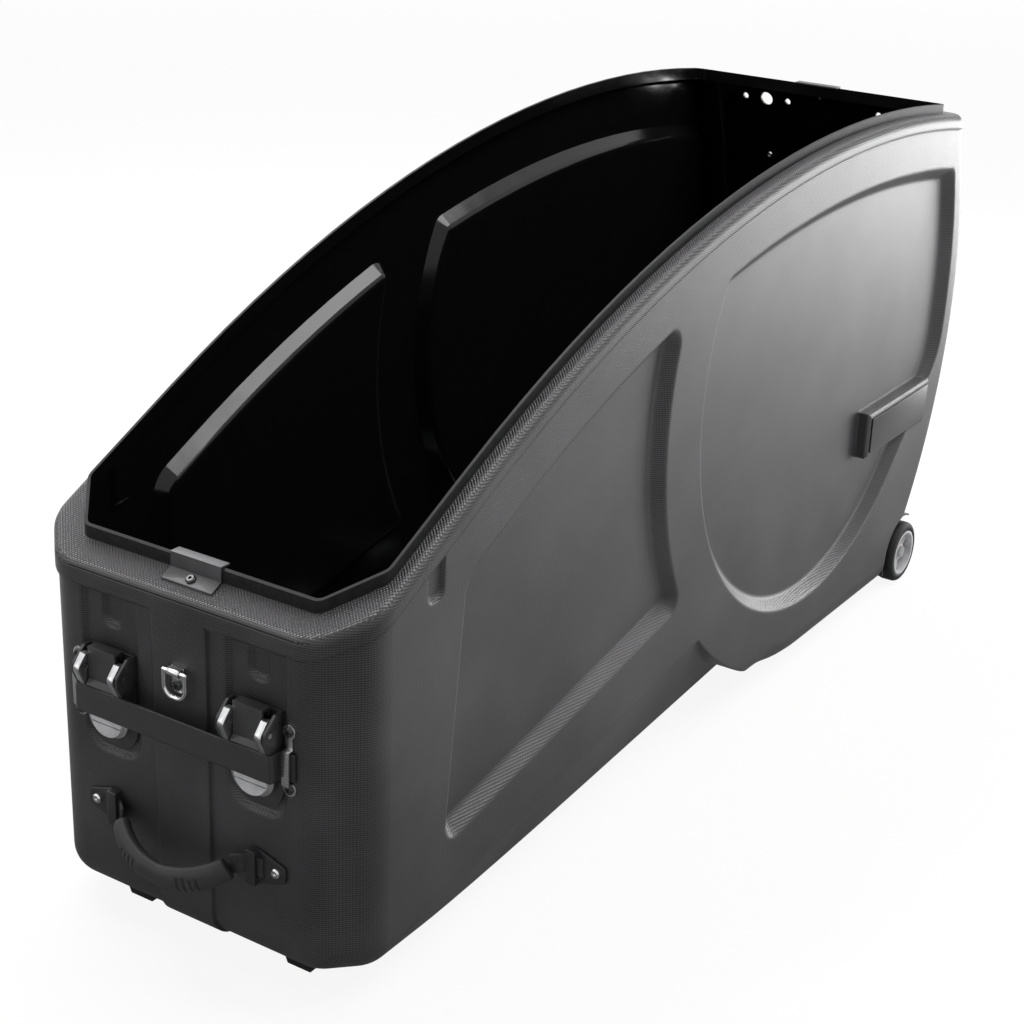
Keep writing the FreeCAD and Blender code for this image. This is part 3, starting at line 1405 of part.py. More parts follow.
KNOB_LOBES = 5
SHOE_FOOT = f"{FLOOR} + shoe_gap"
SHOE_ROOF = f"{FLOOR} + rail_height + shoe_gap"
SHOE_TOP = f"{FLOOR} + rail_height + shoe_gap + shoe_top"
SHOE_IN, SHOE_OUT = "(rail_width / 2 + shoe_gap)", "(rail_width / 2 + shoe_gap + shoe_wall)"


def shoe(label, station):
    """A saddle over the rail with a threaded hole for a clamp knob in its -Y cheek."""
    near = [(SHOE_IN, SHOE_ROOF), (SHOE_IN, SHOE_FOOT), (SHOE_OUT, SHOE_FOOT), (SHOE_OUT, SHOE_TOP)]
    points = near + [(f"-{y}", z) for y, z in reversed(near)]
    start = f"{FRONT} + {station} - shoe_length / 2"
    saddle = pad(f"{label}_saddle", "YZ", points, start, "shoe_length")
    knob_low = (f"{FRONT} + {station}", f"-{SHOE_OUT}", f"{FLOOR} + rail_height / 2")
    hole = rod(f"{label}_stud_hole", "knob_stud_r + running_gap", "shoe_wall", knob_low, "Y")
    return saddle, hole


def knob(label, station):
    """A star knob with its stud, reaching through the cheek of a shoe to the rail."""
    y = f"-{SHOE_OUT} - side_gap"
    height = f"{FLOOR} + rail_height / 2"
    x = f"{FRONT} + {station}"
    stud_length = "shoe_wall + side_gap + shoe_gap / 2"
    stud = rod(f"{label}_stud", "knob_stud_r", stud_length, (x, y, height), "Y")
    head = rod(f"{label}_head", "knob_r", "knob_length", (x, f"{y} - knob_length", height), "Y")
    scallops = []
    for count in range(KNOB_LOBES):
        degrees = 360 * count / KNOB_LOBES
        spot = (f"{x} + knob_r * cos({degrees})", f"{y} - knob_length", f"{height} + knob_r * sin({degrees})")
        scallops.append(rod(f"{label}_scallop_{count}", "knob_r * knob_scallop_share", "knob_length", spot, "Y"))
    star = cut(f"{label}_star", head, scallops)
    node(label, fuse(label, [stud, star]))


saddle, stud_hole = shoe("fork_shoe", "fork_mount_station")
upright_low = (f"{FRONT} + fork_mount_station - fork_upright / 2", "-fork_upright_width / 2", SHOE_TOP)
upright = box("fork_upright_block", upright_low,
              ("fork_upright", "fork_upright_width", f"fork_axle_z - ({SHOE_TOP})"))
axle_low = (f"{FRONT} + fork_mount_station", "-fork_width / 2", "fork_axle_z")
tube = rod("fork_tube", "fork_tube_r", "fork_width", axle_low, "Y")
tube_bore = rod("fork_tube_bore", "skewer_r + running_gap", "fork_width", axle_low, "Y")
blank = fuse("fork_mount_blank", [saddle, upright, tube])
node("fork_mount", cut("fork_mount", blank, [stud_hole, tube_bore]))
knob("fork_mount_knob", "fork_mount_station")

SKEWER_X = axle_low[0]
skewer_low = (SKEWER_X, "-fork_width / 2 - skewer_stub - nut_length", "fork_axle_z")
skewer_length = "fork_width + 2 * skewer_stub + nut_length"
shank = rod("skewer_shank", "skewer_r", skewer_length, skewer_low, "Y")
cam_y = "fork_width / 2 + skewer_stub + cam_r + seat_gap"
tab_low = (f"{SKEWER_X} - skewer_tab / 2", "fork_width / 2 + skewer_stub", "fork_axle_z - skewer_r")
tab = box("skewer_tab_block", tab_low, ("skewer_tab", "cam_r + seat_gap + skewer_r", "2 * skewer_r"))
pin_low = (f"{SKEWER_X} - cam_length / 2", cam_y, "fork_axle_z")
tab_hole = rod("skewer_tab_hole", "cam_pin_r", "cam_length", pin_low, "X")
skewer_blank = fuse("skewer_blank", [shank, tab])
node("fork_skewer", cut("fork_skewer", skewer_blank, [tab_hole]))
node("cam_pin", rod("cam_pin", "cam_pin_r", "cam_length", pin_low, "X"))
nut_outside = rod("nut_outside", "nut_r", "nut_length", skewer_low, "Y")
nut_bore = rod("nut_bore", "skewer_r", "nut_length", skewer_low, "Y")
node("skewer_nut", cut("skewer_nut", nut_outside, [nut_bore]))
barrel = rod("cam_barrel", "cam_r", "cam_length", pin_low, "X")
slot_low = (f"{SKEWER_X} - skewer_tab / 2 - side_gap", f"{cam_y} - 2 * cam_r", "fork_axle_z - 2 * cam_r")
slot_tool = box("cam_slot", slot_low,
                ("skewer_tab + 2 * side_gap", "4 * cam_r", "2 * cam_r + skewer_r * sqrt(2) + side_gap"))
pin_bore = rod("cam_pin_bore", "cam_pin_r + running_gap", "cam_length", pin_low, "X")
cam = cut("cam", barrel, [slot_tool, pin_bore])
blade_low = (f"{SKEWER_X} - cam_length / 2", f"{cam_y} - cam_blade / 2",
             "fork_axle_z + skewer_r * sqrt(2) + side_gap")
blade = box("cam_blade_block", blade_low, ("cam_length", "cam_blade", "cam_lever_length"))
node("skewer_lever", fuse("skewer_lever", [cam, blade]))

saddle, stud_hole = shoe("cradle_shoe", "case_length - cradle_rear")
CRADLE_X = f"{REAR} - cradle_rear"
BOWL_Z = "cradle_z + cradle_bowl_r"
block_low = (f"{CRADLE_X} - cradle_length / 2", "-cradle_width / 2", SHOE_TOP)
block = box("cradle_block", block_low, ("cradle_length", "cradle_width", f"{BOWL_Z} - cradle_open - ({SHOE_TOP})"))
bowl_low = (CRADLE_X, "-cradle_width / 2", BOWL_Z)
bowl = rod("cradle_bowl", "cradle_bowl_r + cradle_pad", "cradle_width", bowl_low, "Y")
blank = fuse("cradle_blank", [saddle, block])
node("frame_cradle", cut("frame_cradle", blank, [stud_hole, bowl]))
knob("cradle_knob", "case_length - cradle_rear")
lining = rod("cradle_lining", "cradle_bowl_r + cradle_pad", "cradle_width", bowl_low, "Y")
hollow = rod("cradle_hollow", "cradle_bowl_r", "cradle_width", bowl_low, "Y")
above_low = (f"{CRADLE_X} - cradle_length", "-cradle_width", f"{BOWL_Z} - cradle_open")
above = box("cradle_above", above_low, ("2 * cradle_length", "2 * cradle_width", "2 * cradle_width"))
node("cradle_pad", cut("cradle_pad", lining, [hollow, above]))

# Tub, drilled for everything fastened to it

node("base_shell", solid("base_shell", tub_shell().cut(shell_holes)))

doc.recompute()
for piece in doc.Objects:
    if "Invalid" in piece.State or "Error" in piece.State:
        raise RuntimeError(f"{piece.Name} did not build: {piece.State}")
os.makedirs("parts", exist_ok=True)
for label, piece in nodes.items():
    shape = piece.Shape
    if shape.isNull() or not shape.isValid() or not shape.Solids:
        raise RuntimeError(f"{label} is not a sound solid")
    shape.exportStep(f"parts/{label}.step")
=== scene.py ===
import json
import math

import bmesh
import bpy
from mathutils import Matrix, Vector
from mathutils.bvhtree import BVHTree

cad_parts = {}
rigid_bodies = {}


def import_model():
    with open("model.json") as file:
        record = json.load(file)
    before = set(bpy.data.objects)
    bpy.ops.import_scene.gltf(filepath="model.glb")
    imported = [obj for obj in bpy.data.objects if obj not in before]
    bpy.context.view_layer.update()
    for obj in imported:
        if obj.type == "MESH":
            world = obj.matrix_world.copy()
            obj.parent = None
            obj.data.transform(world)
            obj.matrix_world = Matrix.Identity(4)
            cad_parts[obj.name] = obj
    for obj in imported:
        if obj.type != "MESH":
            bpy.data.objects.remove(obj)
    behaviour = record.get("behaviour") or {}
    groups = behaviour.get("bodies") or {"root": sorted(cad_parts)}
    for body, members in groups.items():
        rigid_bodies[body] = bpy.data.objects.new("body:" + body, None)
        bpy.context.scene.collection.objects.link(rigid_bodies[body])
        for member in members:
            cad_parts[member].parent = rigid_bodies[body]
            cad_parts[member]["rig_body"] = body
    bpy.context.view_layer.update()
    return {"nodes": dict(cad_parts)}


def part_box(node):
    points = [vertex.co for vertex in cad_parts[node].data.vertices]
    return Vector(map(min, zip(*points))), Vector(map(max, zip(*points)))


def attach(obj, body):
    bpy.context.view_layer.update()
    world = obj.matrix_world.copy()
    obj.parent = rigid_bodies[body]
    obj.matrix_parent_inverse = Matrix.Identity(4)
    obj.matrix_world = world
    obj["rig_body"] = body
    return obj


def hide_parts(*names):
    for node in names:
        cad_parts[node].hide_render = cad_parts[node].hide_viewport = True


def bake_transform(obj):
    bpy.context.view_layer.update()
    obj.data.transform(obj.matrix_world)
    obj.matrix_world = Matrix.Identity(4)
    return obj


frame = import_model()
nodes = frame["nodes"]

# Shader wiring


class Wiring:
    """The shader nodes of one material, or of the world, joined step by step."""

    def __init__(self, owner):
        owner.use_nodes = True
        self.tree = owner.node_tree

    def node(self, kind):
        return self.tree.nodes.new(kind)

    def feed(self, socket, value):
        """Give a socket another node's output, or a plain value."""
        if isinstance(value, bpy.types.NodeSocket):
            self.tree.links.new(value, socket)
        else:
            socket.default_value = value

    def math(self, operation, *values):
        step = self.node("ShaderNodeMath")
        step.operation = operation
        for socket, value in zip(step.inputs, values):
            self.feed(socket, value)
        return step.outputs[0]

    def vector(self, operation, value):
        step = self.node("ShaderNodeVectorMath")
        step.operation = operation
        self.feed(step.inputs[0], value)
        return step.outputs

    def axes(self, vector):
        split = self.node("ShaderNodeSeparateXYZ")
        self.feed(split.inputs[0], vector)
        return split.outputs

    def between(self, pattern, low, high, start=0.0, end=1.0):
        """The stretch of a pattern from start to end, spread over low to high."""
        span = self.node("ShaderNodeMapRange")
        limits = {"Value": pattern, "From Min": start, "From Max": end, "To Min": low, "To Max": high}
        for label, value in limits.items():
            self.feed(span.inputs[label], value)
        return span.outputs[0]

    def rays(self):
        """1 for rays that metal or glass sends on, and 1 for rays straight from the camera."""
        path = self.node("ShaderNodeLightPath").outputs
        sent_on = self.math("MAXIMUM", path["Is Glossy Ray"], path["Is Transmission Ray"])
        return sent_on, path["Is Camera Ray"]


class Finish(Wiring):
    """A surface finish: one shader and the patterns that drive its colour, gloss and relief."""

    def __init__(self, name, colour, roughness, metallic=0.0):
        self.material = bpy.data.materials.new(name)
        super().__init__(self.material)
        self.shader = self.tree.nodes["Principled BSDF"]
        self.shader.inputs["Base Color"].default_value = (*colour, 1)
        self.shader.inputs["Roughness"].default_value = roughness
        self.shader.inputs["Metallic"].default_value = metallic
        self.colour = colour
        self.place = self.node("ShaderNodeTexCoord").outputs["Object"]

    def shine(self, level):
        self.shader.inputs["Specular IOR Level"].default_value = level

    def noise(self, scale, detail=3.0, stretch=(1, 1, 1)):
        mapping = self.node("ShaderNodeMapping")
        mapping.inputs["Scale"].default_value = stretch
        self.feed(mapping.inputs["Vector"], self.place)
        noise = self.node("ShaderNodeTexNoise")
        noise.inputs["Scale"].default_value = scale
        noise.inputs["Detail"].default_value = detail
        self.feed(noise.inputs["Vector"], mapping.outputs[0])
        return noise.outputs["Fac"]

    def wave(self, distance, pitch):
        return self.math("COSINE", self.math("MULTIPLY", distance, 2 * math.pi / pitch))

    def tint(self, pattern, dark, light, start=0.3, end=0.7):
        """Colour from dark to light shares of the finish's own colour."""
        mix = self.node("ShaderNodeMix")
        mix.data_type = "RGBA"
        self.feed(mix.inputs["Factor"], self.between(pattern, 0, 1, start, end))
        for label, share in (("A", dark), ("B", light)):
            socket = next(s for s in mix.inputs if s.name == label and s.type == "RGBA")
            socket.default_value = (*(share * part for part in self.colour), 1)
        result = next(s for s in mix.outputs if s.type == "RGBA")
        self.feed(self.shader.inputs["Base Color"], result)

    def gloss(self, pattern, low, high, start=0.3, end=0.7):
        """Roughness from low to high as the pattern rises."""
        self.feed(self.shader.inputs["Roughness"], self.between(pattern, low, high, start, end))

    def round_edges(self, radius):
        edges = self.node("ShaderNodeBevel")
        edges.samples = 6
        edges.inputs["Radius"].default_value = radius
        self.feed(self.shader.inputs["Normal"], edges.outputs[0])

    def relief(self, height, depth, strength):
        """A fine relief, on top of rounded edges where the finish has them."""
        bump = self.node("ShaderNodeBump")
        bump.inputs["Strength"].default_value = strength
        bump.inputs["Distance"].default_value = depth
        self.feed(bump.inputs["Height"], height)
        rounded = self.shader.inputs["Normal"].links
        if rounded:
            self.feed(bump.inputs["Normal"], rounded[0].from_socket)
        self.feed(self.shader.inputs["Normal"], bump.outputs[0])


# Camera, floor and studio light


def look_through(place, right, up, lens, sensor):
    camera = bpy.data.cameras.new("camera")
    camera.lens, camera.sensor_width = lens, sensor
    view = bpy.data.objects.new("camera", camera)
    right, up = Vector(right), Vector(up)
    turned = Matrix((right, up, right.cross(up))).transposed().to_4x4()
    view.matrix_world = Matrix.Translation(place) @ turned
    bpy.context.collection.objects.link(view)
    bpy.context.scene.camera = view


def softbox(name, place, aim, width, height, power):
    lamp = bpy.data.lights.new(name, "AREA")
    lamp.shape, lamp.size, lamp.size_y, lamp.energy = "RECTANGLE", width, height, power
    stand = bpy.data.objects.new(name, lamp)
    stand.location = place
    stand.rotation_euler = (Vector(aim) - Vector(place)).to_track_quat("-Z", "Y").to_euler()
    bpy.context.collection.objects.link(stand)


def white_room(light):
    """A white backdrop that lights the object only as much as light says."""
    world = bpy.data.worlds.new("white_room")
    bpy.context.scene.world = world
    room = Wiring(world)
    background = room.tree.nodes["Background"]
    background.inputs["Color"].default_value = (1, 1, 1, 1)
    seen = room.math("ADD", *room.rays())
    room.feed(background.inputs["Strength"], room.between(seen, light, 1))


def pale_floor(shown, ahead, close_by):
    """White paper on the floor: white where the camera sees it, the rest left for light and shadow.

    It turns wholly white far off. In a reflection it has a painted shadow of the case: white well beside
    the case, and darker ahead of the front wall and close by the sides.
    """
    # ahead and close_by set how bright the reflected floor stays under its painted shadow, ahead of the
    # front wall and close by the sides.
    reach = 40
    shadow_deepest_x, white_x = -0.85, -0.2
    shadow_deepest_y, white_y = 0.2, 0.7
    fade_start, fade_end = 2, 7
    bm = bmesh.new()
    bmesh.ops.create_grid(bm, x_segments=1, y_segments=1, size=reach)
    mesh = bpy.data.meshes.new("floor")
    bm.to_mesh(mesh)
    floor = bpy.data.objects.new("floor", mesh)
    bpy.context.collection.objects.link(floor)
    paper = Finish("pale_floor", colour=(0.88, 0.88, 0.88), roughness=0.9)
    x, y = paper.axes(paper.place)[:2]
    # Painted shadow of the case, seen only where metal and gloss reflect the floor.
    shadow_ahead_ramp = paper.between(x, ahead, 1, shadow_deepest_x, white_x)
    shadow_beside_ramp = paper.between(paper.math("ABSOLUTE", y), close_by, 1, shadow_deepest_y, white_y)
    painted_shadow_in_reflection = paper.math("MULTIPLY", shadow_ahead_ramp, shadow_beside_ramp)
    sent_on, straight = paper.rays()
    white = paper.node("ShaderNodeEmission")
    paper.feed(white.inputs["Strength"], paper.math("MULTIPLY_ADD", sent_on, painted_shadow_in_reflection, straight))
    away = paper.vector("LENGTH", paper.place)["Value"]
    whiteness = paper.between(away, shown, 1, fade_start, fade_end)
    seen = paper.math("ADD", sent_on, straight)
    mix = paper.node("ShaderNodeMixShader")
    paper.feed(mix.inputs["Fac"], paper.between(seen, 0, whiteness))
    paper.feed(mix.inputs[1], paper.shader.outputs[0])
    paper.feed(mix.inputs[2], white.outputs[0])
    paper.feed(paper.tree.nodes["Material Output"].inputs["Surface"], mix.outputs[0])
    mesh.materials.append(paper.material)


bpy.context.scene.view_settings.view_transform = "Standard"
look_through(
    place=(-1.86491, -1.13096, 1.15214),
    right=(0.55272, -0.83266, 0.03433),
    up=(0.30346, 0.23946, 0.92226),
    lens=71.15,
    sensor=36,
)
white_room(light=0.28)
# ahead and close_by set the painted shadow in the floor's reflection.
pale_floor(shown=0.9, ahead=0.12, close_by=0.25)
softbox("overhead", place=(0.3, 1.6, 2.8), aim=(-0.2, -0.1, 0.4), width=2.8, height=1.5, power=125)
softbox("overhead_right", place=(0.9, -1.0, 2.5), aim=(0, -0.2, 0.4), width=2.6, height=0.8, power=58)
softbox("right_back", place=(2.3, -0.95, 0.36), aim=(0.4, -0.25, 0.4), width=1.5, height=0.6, power=35)
softbox("left_fill", place=(-2.6, 1.8, 1.4), aim=(-0.5, 0, 0.2), width=1.0, height=1.4, power=8)

# Finishes


def embossed_sheet():
    """Thermoformed ABS: fine level ribs on the walls, bold small pyramids where it faces up."""
    pitch, wall_fineness, cross_rib = 0.0036, 1.6, 0.35
    slanted, level = 0.6, 0.9
    wall_depth, wall_dot_highlight, upward_dot_highlight, patchiness = 0.1, 0.5, 0.9, 0.5
    finish = Finish("embossed_sheet", colour=(0.02, 0.0191, 0.0205), roughness=0.42)
    finish.round_edges(radius=0.005)
    x, y, z = finish.axes(finish.place)
    facing = finish.node("ShaderNodeNewGeometry").outputs["Normal"]
    along, across, upward = finish.axes(finish.vector("ABSOLUTE", facing)["Vector"])
    faces_front = finish.math("GREATER_THAN", along, finish.math("MAXIMUM", across, upward))
    faces_up = finish.math("GREATER_THAN", upward, finish.math("MAXIMUM", across, along))

    def choose(pick, first, second):
        """The first where pick is 0, the second where it is 1."""
        gap = finish.math("SUBTRACT", second, first)
        return finish.math("MULTIPLY_ADD", gap, pick, first)

    fineness = choose(faces_up, wall_fineness, 1)
    rows = finish.wave(finish.math("MULTIPLY", choose(faces_front, x, y), fineness), pitch)
    columns = finish.wave(finish.math("MULTIPLY", choose(faces_up, z, y), fineness), pitch)
    pyramids = finish.between(finish.math("MULTIPLY", rows, columns), 0, 1, -1, 1)
    crest = 1 + cross_rib
    ribs = finish.between(finish.math("MULTIPLY_ADD", rows, cross_rib, columns), 0, 1, -crest, crest)
    bold = finish.between(upward, 0, 1, slanted, level)
    grid = choose(bold, ribs, pyramids)
    height = finish.math("MULTIPLY", grid, finish.between(bold, wall_depth, 1))
    finish.relief(height, depth=0.0015, strength=0.9)
    # Colour: random darker and paler patches of the sheet, plus painted highlight on the tops of the emboss
    # and painted shade in its gaps, much stronger where the sheet faces up.
    patches = finish.math("MULTIPLY", finish.noise(scale=9, detail=4), patchiness)
    dot_highlight_and_gap_shade = finish.math("MULTIPLY", grid, finish.between(bold, wall_dot_highlight, upward_dot_highlight))
    finish.tint(finish.math("ADD", patches, dot_highlight_and_gap_shade), dark=0.2, light=4.4, start=0.25, end=1.0)
    finish.gloss(finish.math("MULTIPLY", grid, bold), low=0.45, high=0.26, start=0.1, end=0.8)
    return finish.material


def smooth_inside():
    """The glossy back of the sheet, faintly wavy from forming."""
    finish = Finish("smooth_inside", colour=(0.004, 0.004, 0.004), roughness=0.16)
    finish.shine(level=0.3)
    finish.relief(finish.noise(scale=7, detail=1), depth=0.004, strength=0.08)
    finish.gloss(finish.noise(scale=30, detail=4), low=0.12, high=0.2)
    return finish.material


def rim_edge():
    """The plain lip, dulled by trimming and by use."""
    finish = Finish("rim_edge", colour=(0.02, 0.02, 0.021), roughness=0.55)
    finish.shine(level=0.1)
    finish.tint(finish.noise(scale=160), dark=0.8, light=1.2)
    return finish.material


def powder_coat(name, colour, roughness):
    finish = Finish(name, colour, roughness)
    finish.relief(finish.noise(scale=1600, detail=2), depth=0.00012, strength=0.5)
    finish.tint(finish.noise(scale=60), dark=0.85, light=1.15)
    return finish.material


def bright_metal(name, colour, roughness, stretch):
    """Brushed and lightly handled metal."""
    smoother, rougher = 0.9, 1.15
    finish = Finish(name, colour, roughness, metallic=1.0)
    brushing = finish.noise(scale=500, stretch=stretch)
    finish.gloss(brushing, low=roughness * smoother, high=roughness * rougher)
    finish.tint(finish.noise(scale=45, detail=4), dark=0.85, light=1.08)
    finish.relief(finish.noise(scale=700, detail=2, stretch=stretch), depth=0.00001, strength=0.3)
    return finish.material


def moulded(name, colour, roughness):
    """Injection moulded plastic with a fine spark texture."""
    smoother, rougher = 0.85, 1.15
    finish = Finish(name, colour, roughness)
    finish.relief(finish.noise(scale=2200, detail=2), depth=0.00008, strength=0.5)
    finish.tint(finish.noise(scale=50), dark=0.88, light=1.1)
    finish.gloss(finish.noise(scale=90), low=roughness * smoother, high=roughness * rougher)
    return finish.material


def woven(name, colour):
    """Nylon webbing: a fine twill across the band."""
    rib_pitch, thread_pitch, lean = 0.0016, 0.0011, 0.5
    finish = Finish(name, colour, roughness=0.5)
    x, y, z = finish.axes(finish.place)
    run = finish.math("ADD", x, y)
    rib = finish.wave(finish.math("ADD", run, finish.math("MULTIPLY", z, lean)), rib_pitch)
    thread = finish.wave(z, thread_pitch)
    twill = finish.between(finish.math("MULTIPLY", rib, thread), 0, 1, -1, 1)
    finish.relief(twill, depth=0.0003, strength=0.8)
    finish.tint(finish.noise(scale=120), dark=0.8, light=1.25)
    finish.shader.inputs["Sheen Weight"].default_value = 0.06
    return finish.material


def rubber(name, colour, roughness):
    finish = Finish(name, colour, roughness)
    finish.relief(finish.noise(scale=1300), depth=0.0001, strength=0.5)
    finish.tint(finish.noise(scale=40, detail=4), dark=0.8, light=1.25)
    finish.shine(level=0.3)
    return finish.material


shell_black = embossed_sheet()
inside_black = smooth_inside()
lip_grey = rim_edge()
coat_black = powder_coat("black_coat", colour=(0.03, 0.03, 0.032), roughness=0.42)
clip_grey = powder_coat("clip_coat", colour=(0.055, 0.053, 0.057), roughness=0.5)
dark_screw = powder_coat("dark_screw", colour=(0.02, 0.02, 0.022), roughness=0.3)
steel = bright_metal("bright_steel", colour=(0.72, 0.72, 0.73), roughness=0.24, stretch=(1, 1, 6))
satin_steel = bright_metal("satin_steel", colour=(0.6, 0.6, 0.61), roughness=0.34, stretch=(1, 4, 1))
rail_metal = bright_metal("rail_aluminium", colour=(0.62, 0.63, 0.65), roughness=0.36, stretch=(0.1, 3, 3))
plate_coat = powder_coat("bare_plate", colour=(0.014, 0.014, 0.015), roughness=0.36)
grey_plastic = moulded("grey_plastic", colour=(0.42, 0.42, 0.43), roughness=0.42)
black_plastic = moulded("black_plastic", colour=(0.018, 0.018, 0.02), roughness=0.4)
strap_weave = woven("strap_weave", colour=(0.013, 0.0125, 0.0135))
grip_rubber = rubber("grip_rubber", colour=(0.03, 0.029, 0.031), roughness=0.5)
tyre_rubber = rubber("tyre_rubber", colour=(0.007, 0.007, 0.0075), roughness=0.7)
foot_rubber = rubber("foot_rubber", colour=(0.02, 0.02, 0.021), roughness=0.6)

# Ways to make a piece

weld_distance = 1e-6


def piece(name, mesh, body, *stands_for):
    """A finished mesh as an object standing for CAD nodes, attached to a body when one is given."""
    made = bpy.data.objects.new(name, mesh)
    bpy.context.collection.objects.link(made)
    if body:
        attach(made, body)
    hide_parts(*stands_for)
    return made


def paint(material, *names):
    """A finish on CAD nodes that are shown as they are."""
    for name in names:
        nodes[name].data.materials.clear()
        nodes[name].data.materials.append(material)


def smooth_mesh(name, bm, *materials):
    mesh = bpy.data.meshes.new(name)
    bm.to_mesh(mesh)
    for material in materials:
        mesh.materials.append(material)
    for face in mesh.polygons:
        face.use_smooth = True
    return mesh


def closed_mesh(name, bm, material):
    """A new shape with its doubles merged and its faces turned outwards."""
    bmesh.ops.remove_doubles(bm, verts=bm.verts, dist=weld_distance)
    bmesh.ops.recalc_face_normals(bm, faces=bm.faces)
    return smooth_mesh(name, bm, material)


def softened(material, width, *names):
    """Copies of rigid nodes with a small round on every sharp edge, as a press or a mould leaves it."""
    flat, sharp = math.radians(1), math.radians(38)
    for name in names:
        bm = bmesh.new()
        bm.from_mesh(nodes[name].data)
        bmesh.ops.remove_doubles(bm, verts=bm.verts, dist=weld_distance)
        bmesh.ops.dissolve_limit(bm, angle_limit=flat, verts=bm.verts, edges=bm.edges)
        copy = f"{name}_softened"
        made = piece(copy, smooth_mesh(copy, bm, material), nodes[name]["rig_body"], name)
        edge = made.modifiers.new("edge", "BEVEL")
        edge.width, edge.segments, edge.limit_method = width, 2, "ANGLE"
        edge.angle_limit, edge.harden_normals = sharp, True


def new_row(bm, edges):
    """A row of faces drawn out of edges: its far vertices, its far edges and the faces."""
    made = bmesh.ops.extrude_edge_only(bm, edges=edges)["geom"]
    far = [part for part in made if isinstance(part, bmesh.types.BMVert)]
    drawn = [part for part in made if isinstance(part, bmesh.types.BMEdge)]
    ends = [edge for edge in drawn if all(vert in far for vert in edge.verts)]
    return far, ends, [part for part in made if isinstance(part, bmesh.types.BMFace)]


def centre_of(verts):
    return sum((vert.co for vert in verts), Vector()) / len(verts)


# The tub


def rim_height(x):
    """Height of the lip's top edge: a straight rise from the front, then one long arc."""
    bend_x, bend_z, slope, radius = -0.4614, 0.48495, math.radians(26.6), 1.799
    if x < bend_x:
        return bend_z + (x - bend_x) * math.tan(slope)
    middle = Vector((bend_x + radius * math.sin(slope), bend_z - radius * math.cos(slope)))
    return middle.y + math.sqrt(radius**2 - (x - middle.x) ** 2)


def shell_skin():
    """The tub with its three finishes: emboss outside, gloss inside, dull on the lip."""
    off_face, least_span = 0.0004, 0.2
    edge_depth, lip_depth, upright = 0.0008, 0.016, 0.4
    left, right, down = Vector((0, 1, 0)), Vector((0, -1, 0)), Vector((0, 0, -1))
    finishes = (shell_black, inside_black, lip_grey)
    source = nodes["base_shell"].data
    normals = [corner.vector.copy() for corner in source.corner_normals]
    bm = bmesh.new()
    bm.from_mesh(source)
    tree = BVHTree.FromBMesh(bm)
    for face in bm.faces:
        middle = face.calc_center_median()
        start = middle + face.normal * off_face
        reach = [tree.ray_cast(start, way)[3] for way in (left, right)]
        between_sides = None not in reach and sum(reach) > least_span
        below_rim = rim_height(middle.x) - middle.z
        on_lip = below_rim < lip_depth and abs(face.normal.z) < upright
        if between_sides and tree.ray_cast(start, down)[0]:
            face.material_index = finishes.index(inside_black)
        elif below_rim < edge_depth or on_lip:
            face.material_index = finishes.index(lip_grey)
    mesh = smooth_mesh("tub", bm, *finishes)
    mesh.normals_split_custom_set(normals)
    made = piece("tub", mesh, "case", "base_shell")


# Webbing


def webbing_band(route, low, width, thickness, bend):
    """A flat woven band standing on edge along a plan route, in rows, with its bends rounded."""
    row_shares = (0.05, 0.12, 0.2, 0.2, 0.2, 0.12, 0.06, 0.05)
    bm = bmesh.new()
    points = [bm.verts.new((x, y, low)) for x, y in route]
    for first, second in zip(points, points[1:]):
        bm.edges.new((first, second))
    bends = points[1:-1] + bm.edges[:]
    bmesh.ops.bevel(bm, geom=bends, offset=bend, affect="VERTICES", segments=6, profile=0.5, material=-1)
    row = bm.edges[:]
    for share in row_shares:
        tops, row, _ = new_row(bm, row)
        bmesh.ops.translate(bm, verts=tops, vec=(0, 0, width * share))
    bmesh.ops.recalc_face_normals(bm, faces=bm.faces)
    bmesh.ops.solidify(bm, geom=bm.faces[:], thickness=thickness)
    return bm


def webbing(name, node, body, route, thickness, bend):
    """A band as high as its CAD node, along a given route."""
    low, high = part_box(node)
    band = webbing_band(route, low.z, high.z - low.z, thickness, bend)
    made = piece(name, closed_mesh(name, band, strap_weave), body, node)
    return made


def handle_loop(side, sign):
    """A loop from its bracket to the grip, attached to no body."""
    bracket_x, grip_x = -0.6558, -0.667
    bracket_y, bend_y, grip_y = sign * 0.097, sign * 0.0805, sign * 0.067
    route = [(bracket_x, bracket_y), (bracket_x, bend_y), (grip_x, grip_y)]
    loop = webbing(
        f"handle_loop_{side}", f"handle_webbing_{side}", None, route, thickness=0.0024, bend=0.004,
    )
    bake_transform(loop)


def strap_band():
    """The strap over both latch tongues, the same on either side of the middle."""
    half = [(-0.654, 0.134), (-0.654, 0.121), (-0.659, 0.119), (-0.667, 0.119), (-0.669, 0.117)]
    route = half + [(x, -y) for x, y in reversed(half)]
    webbing("strap_band", "latch_strap", "case", route, thickness=0.002, bend=0.0012)


# The grip and the tyres


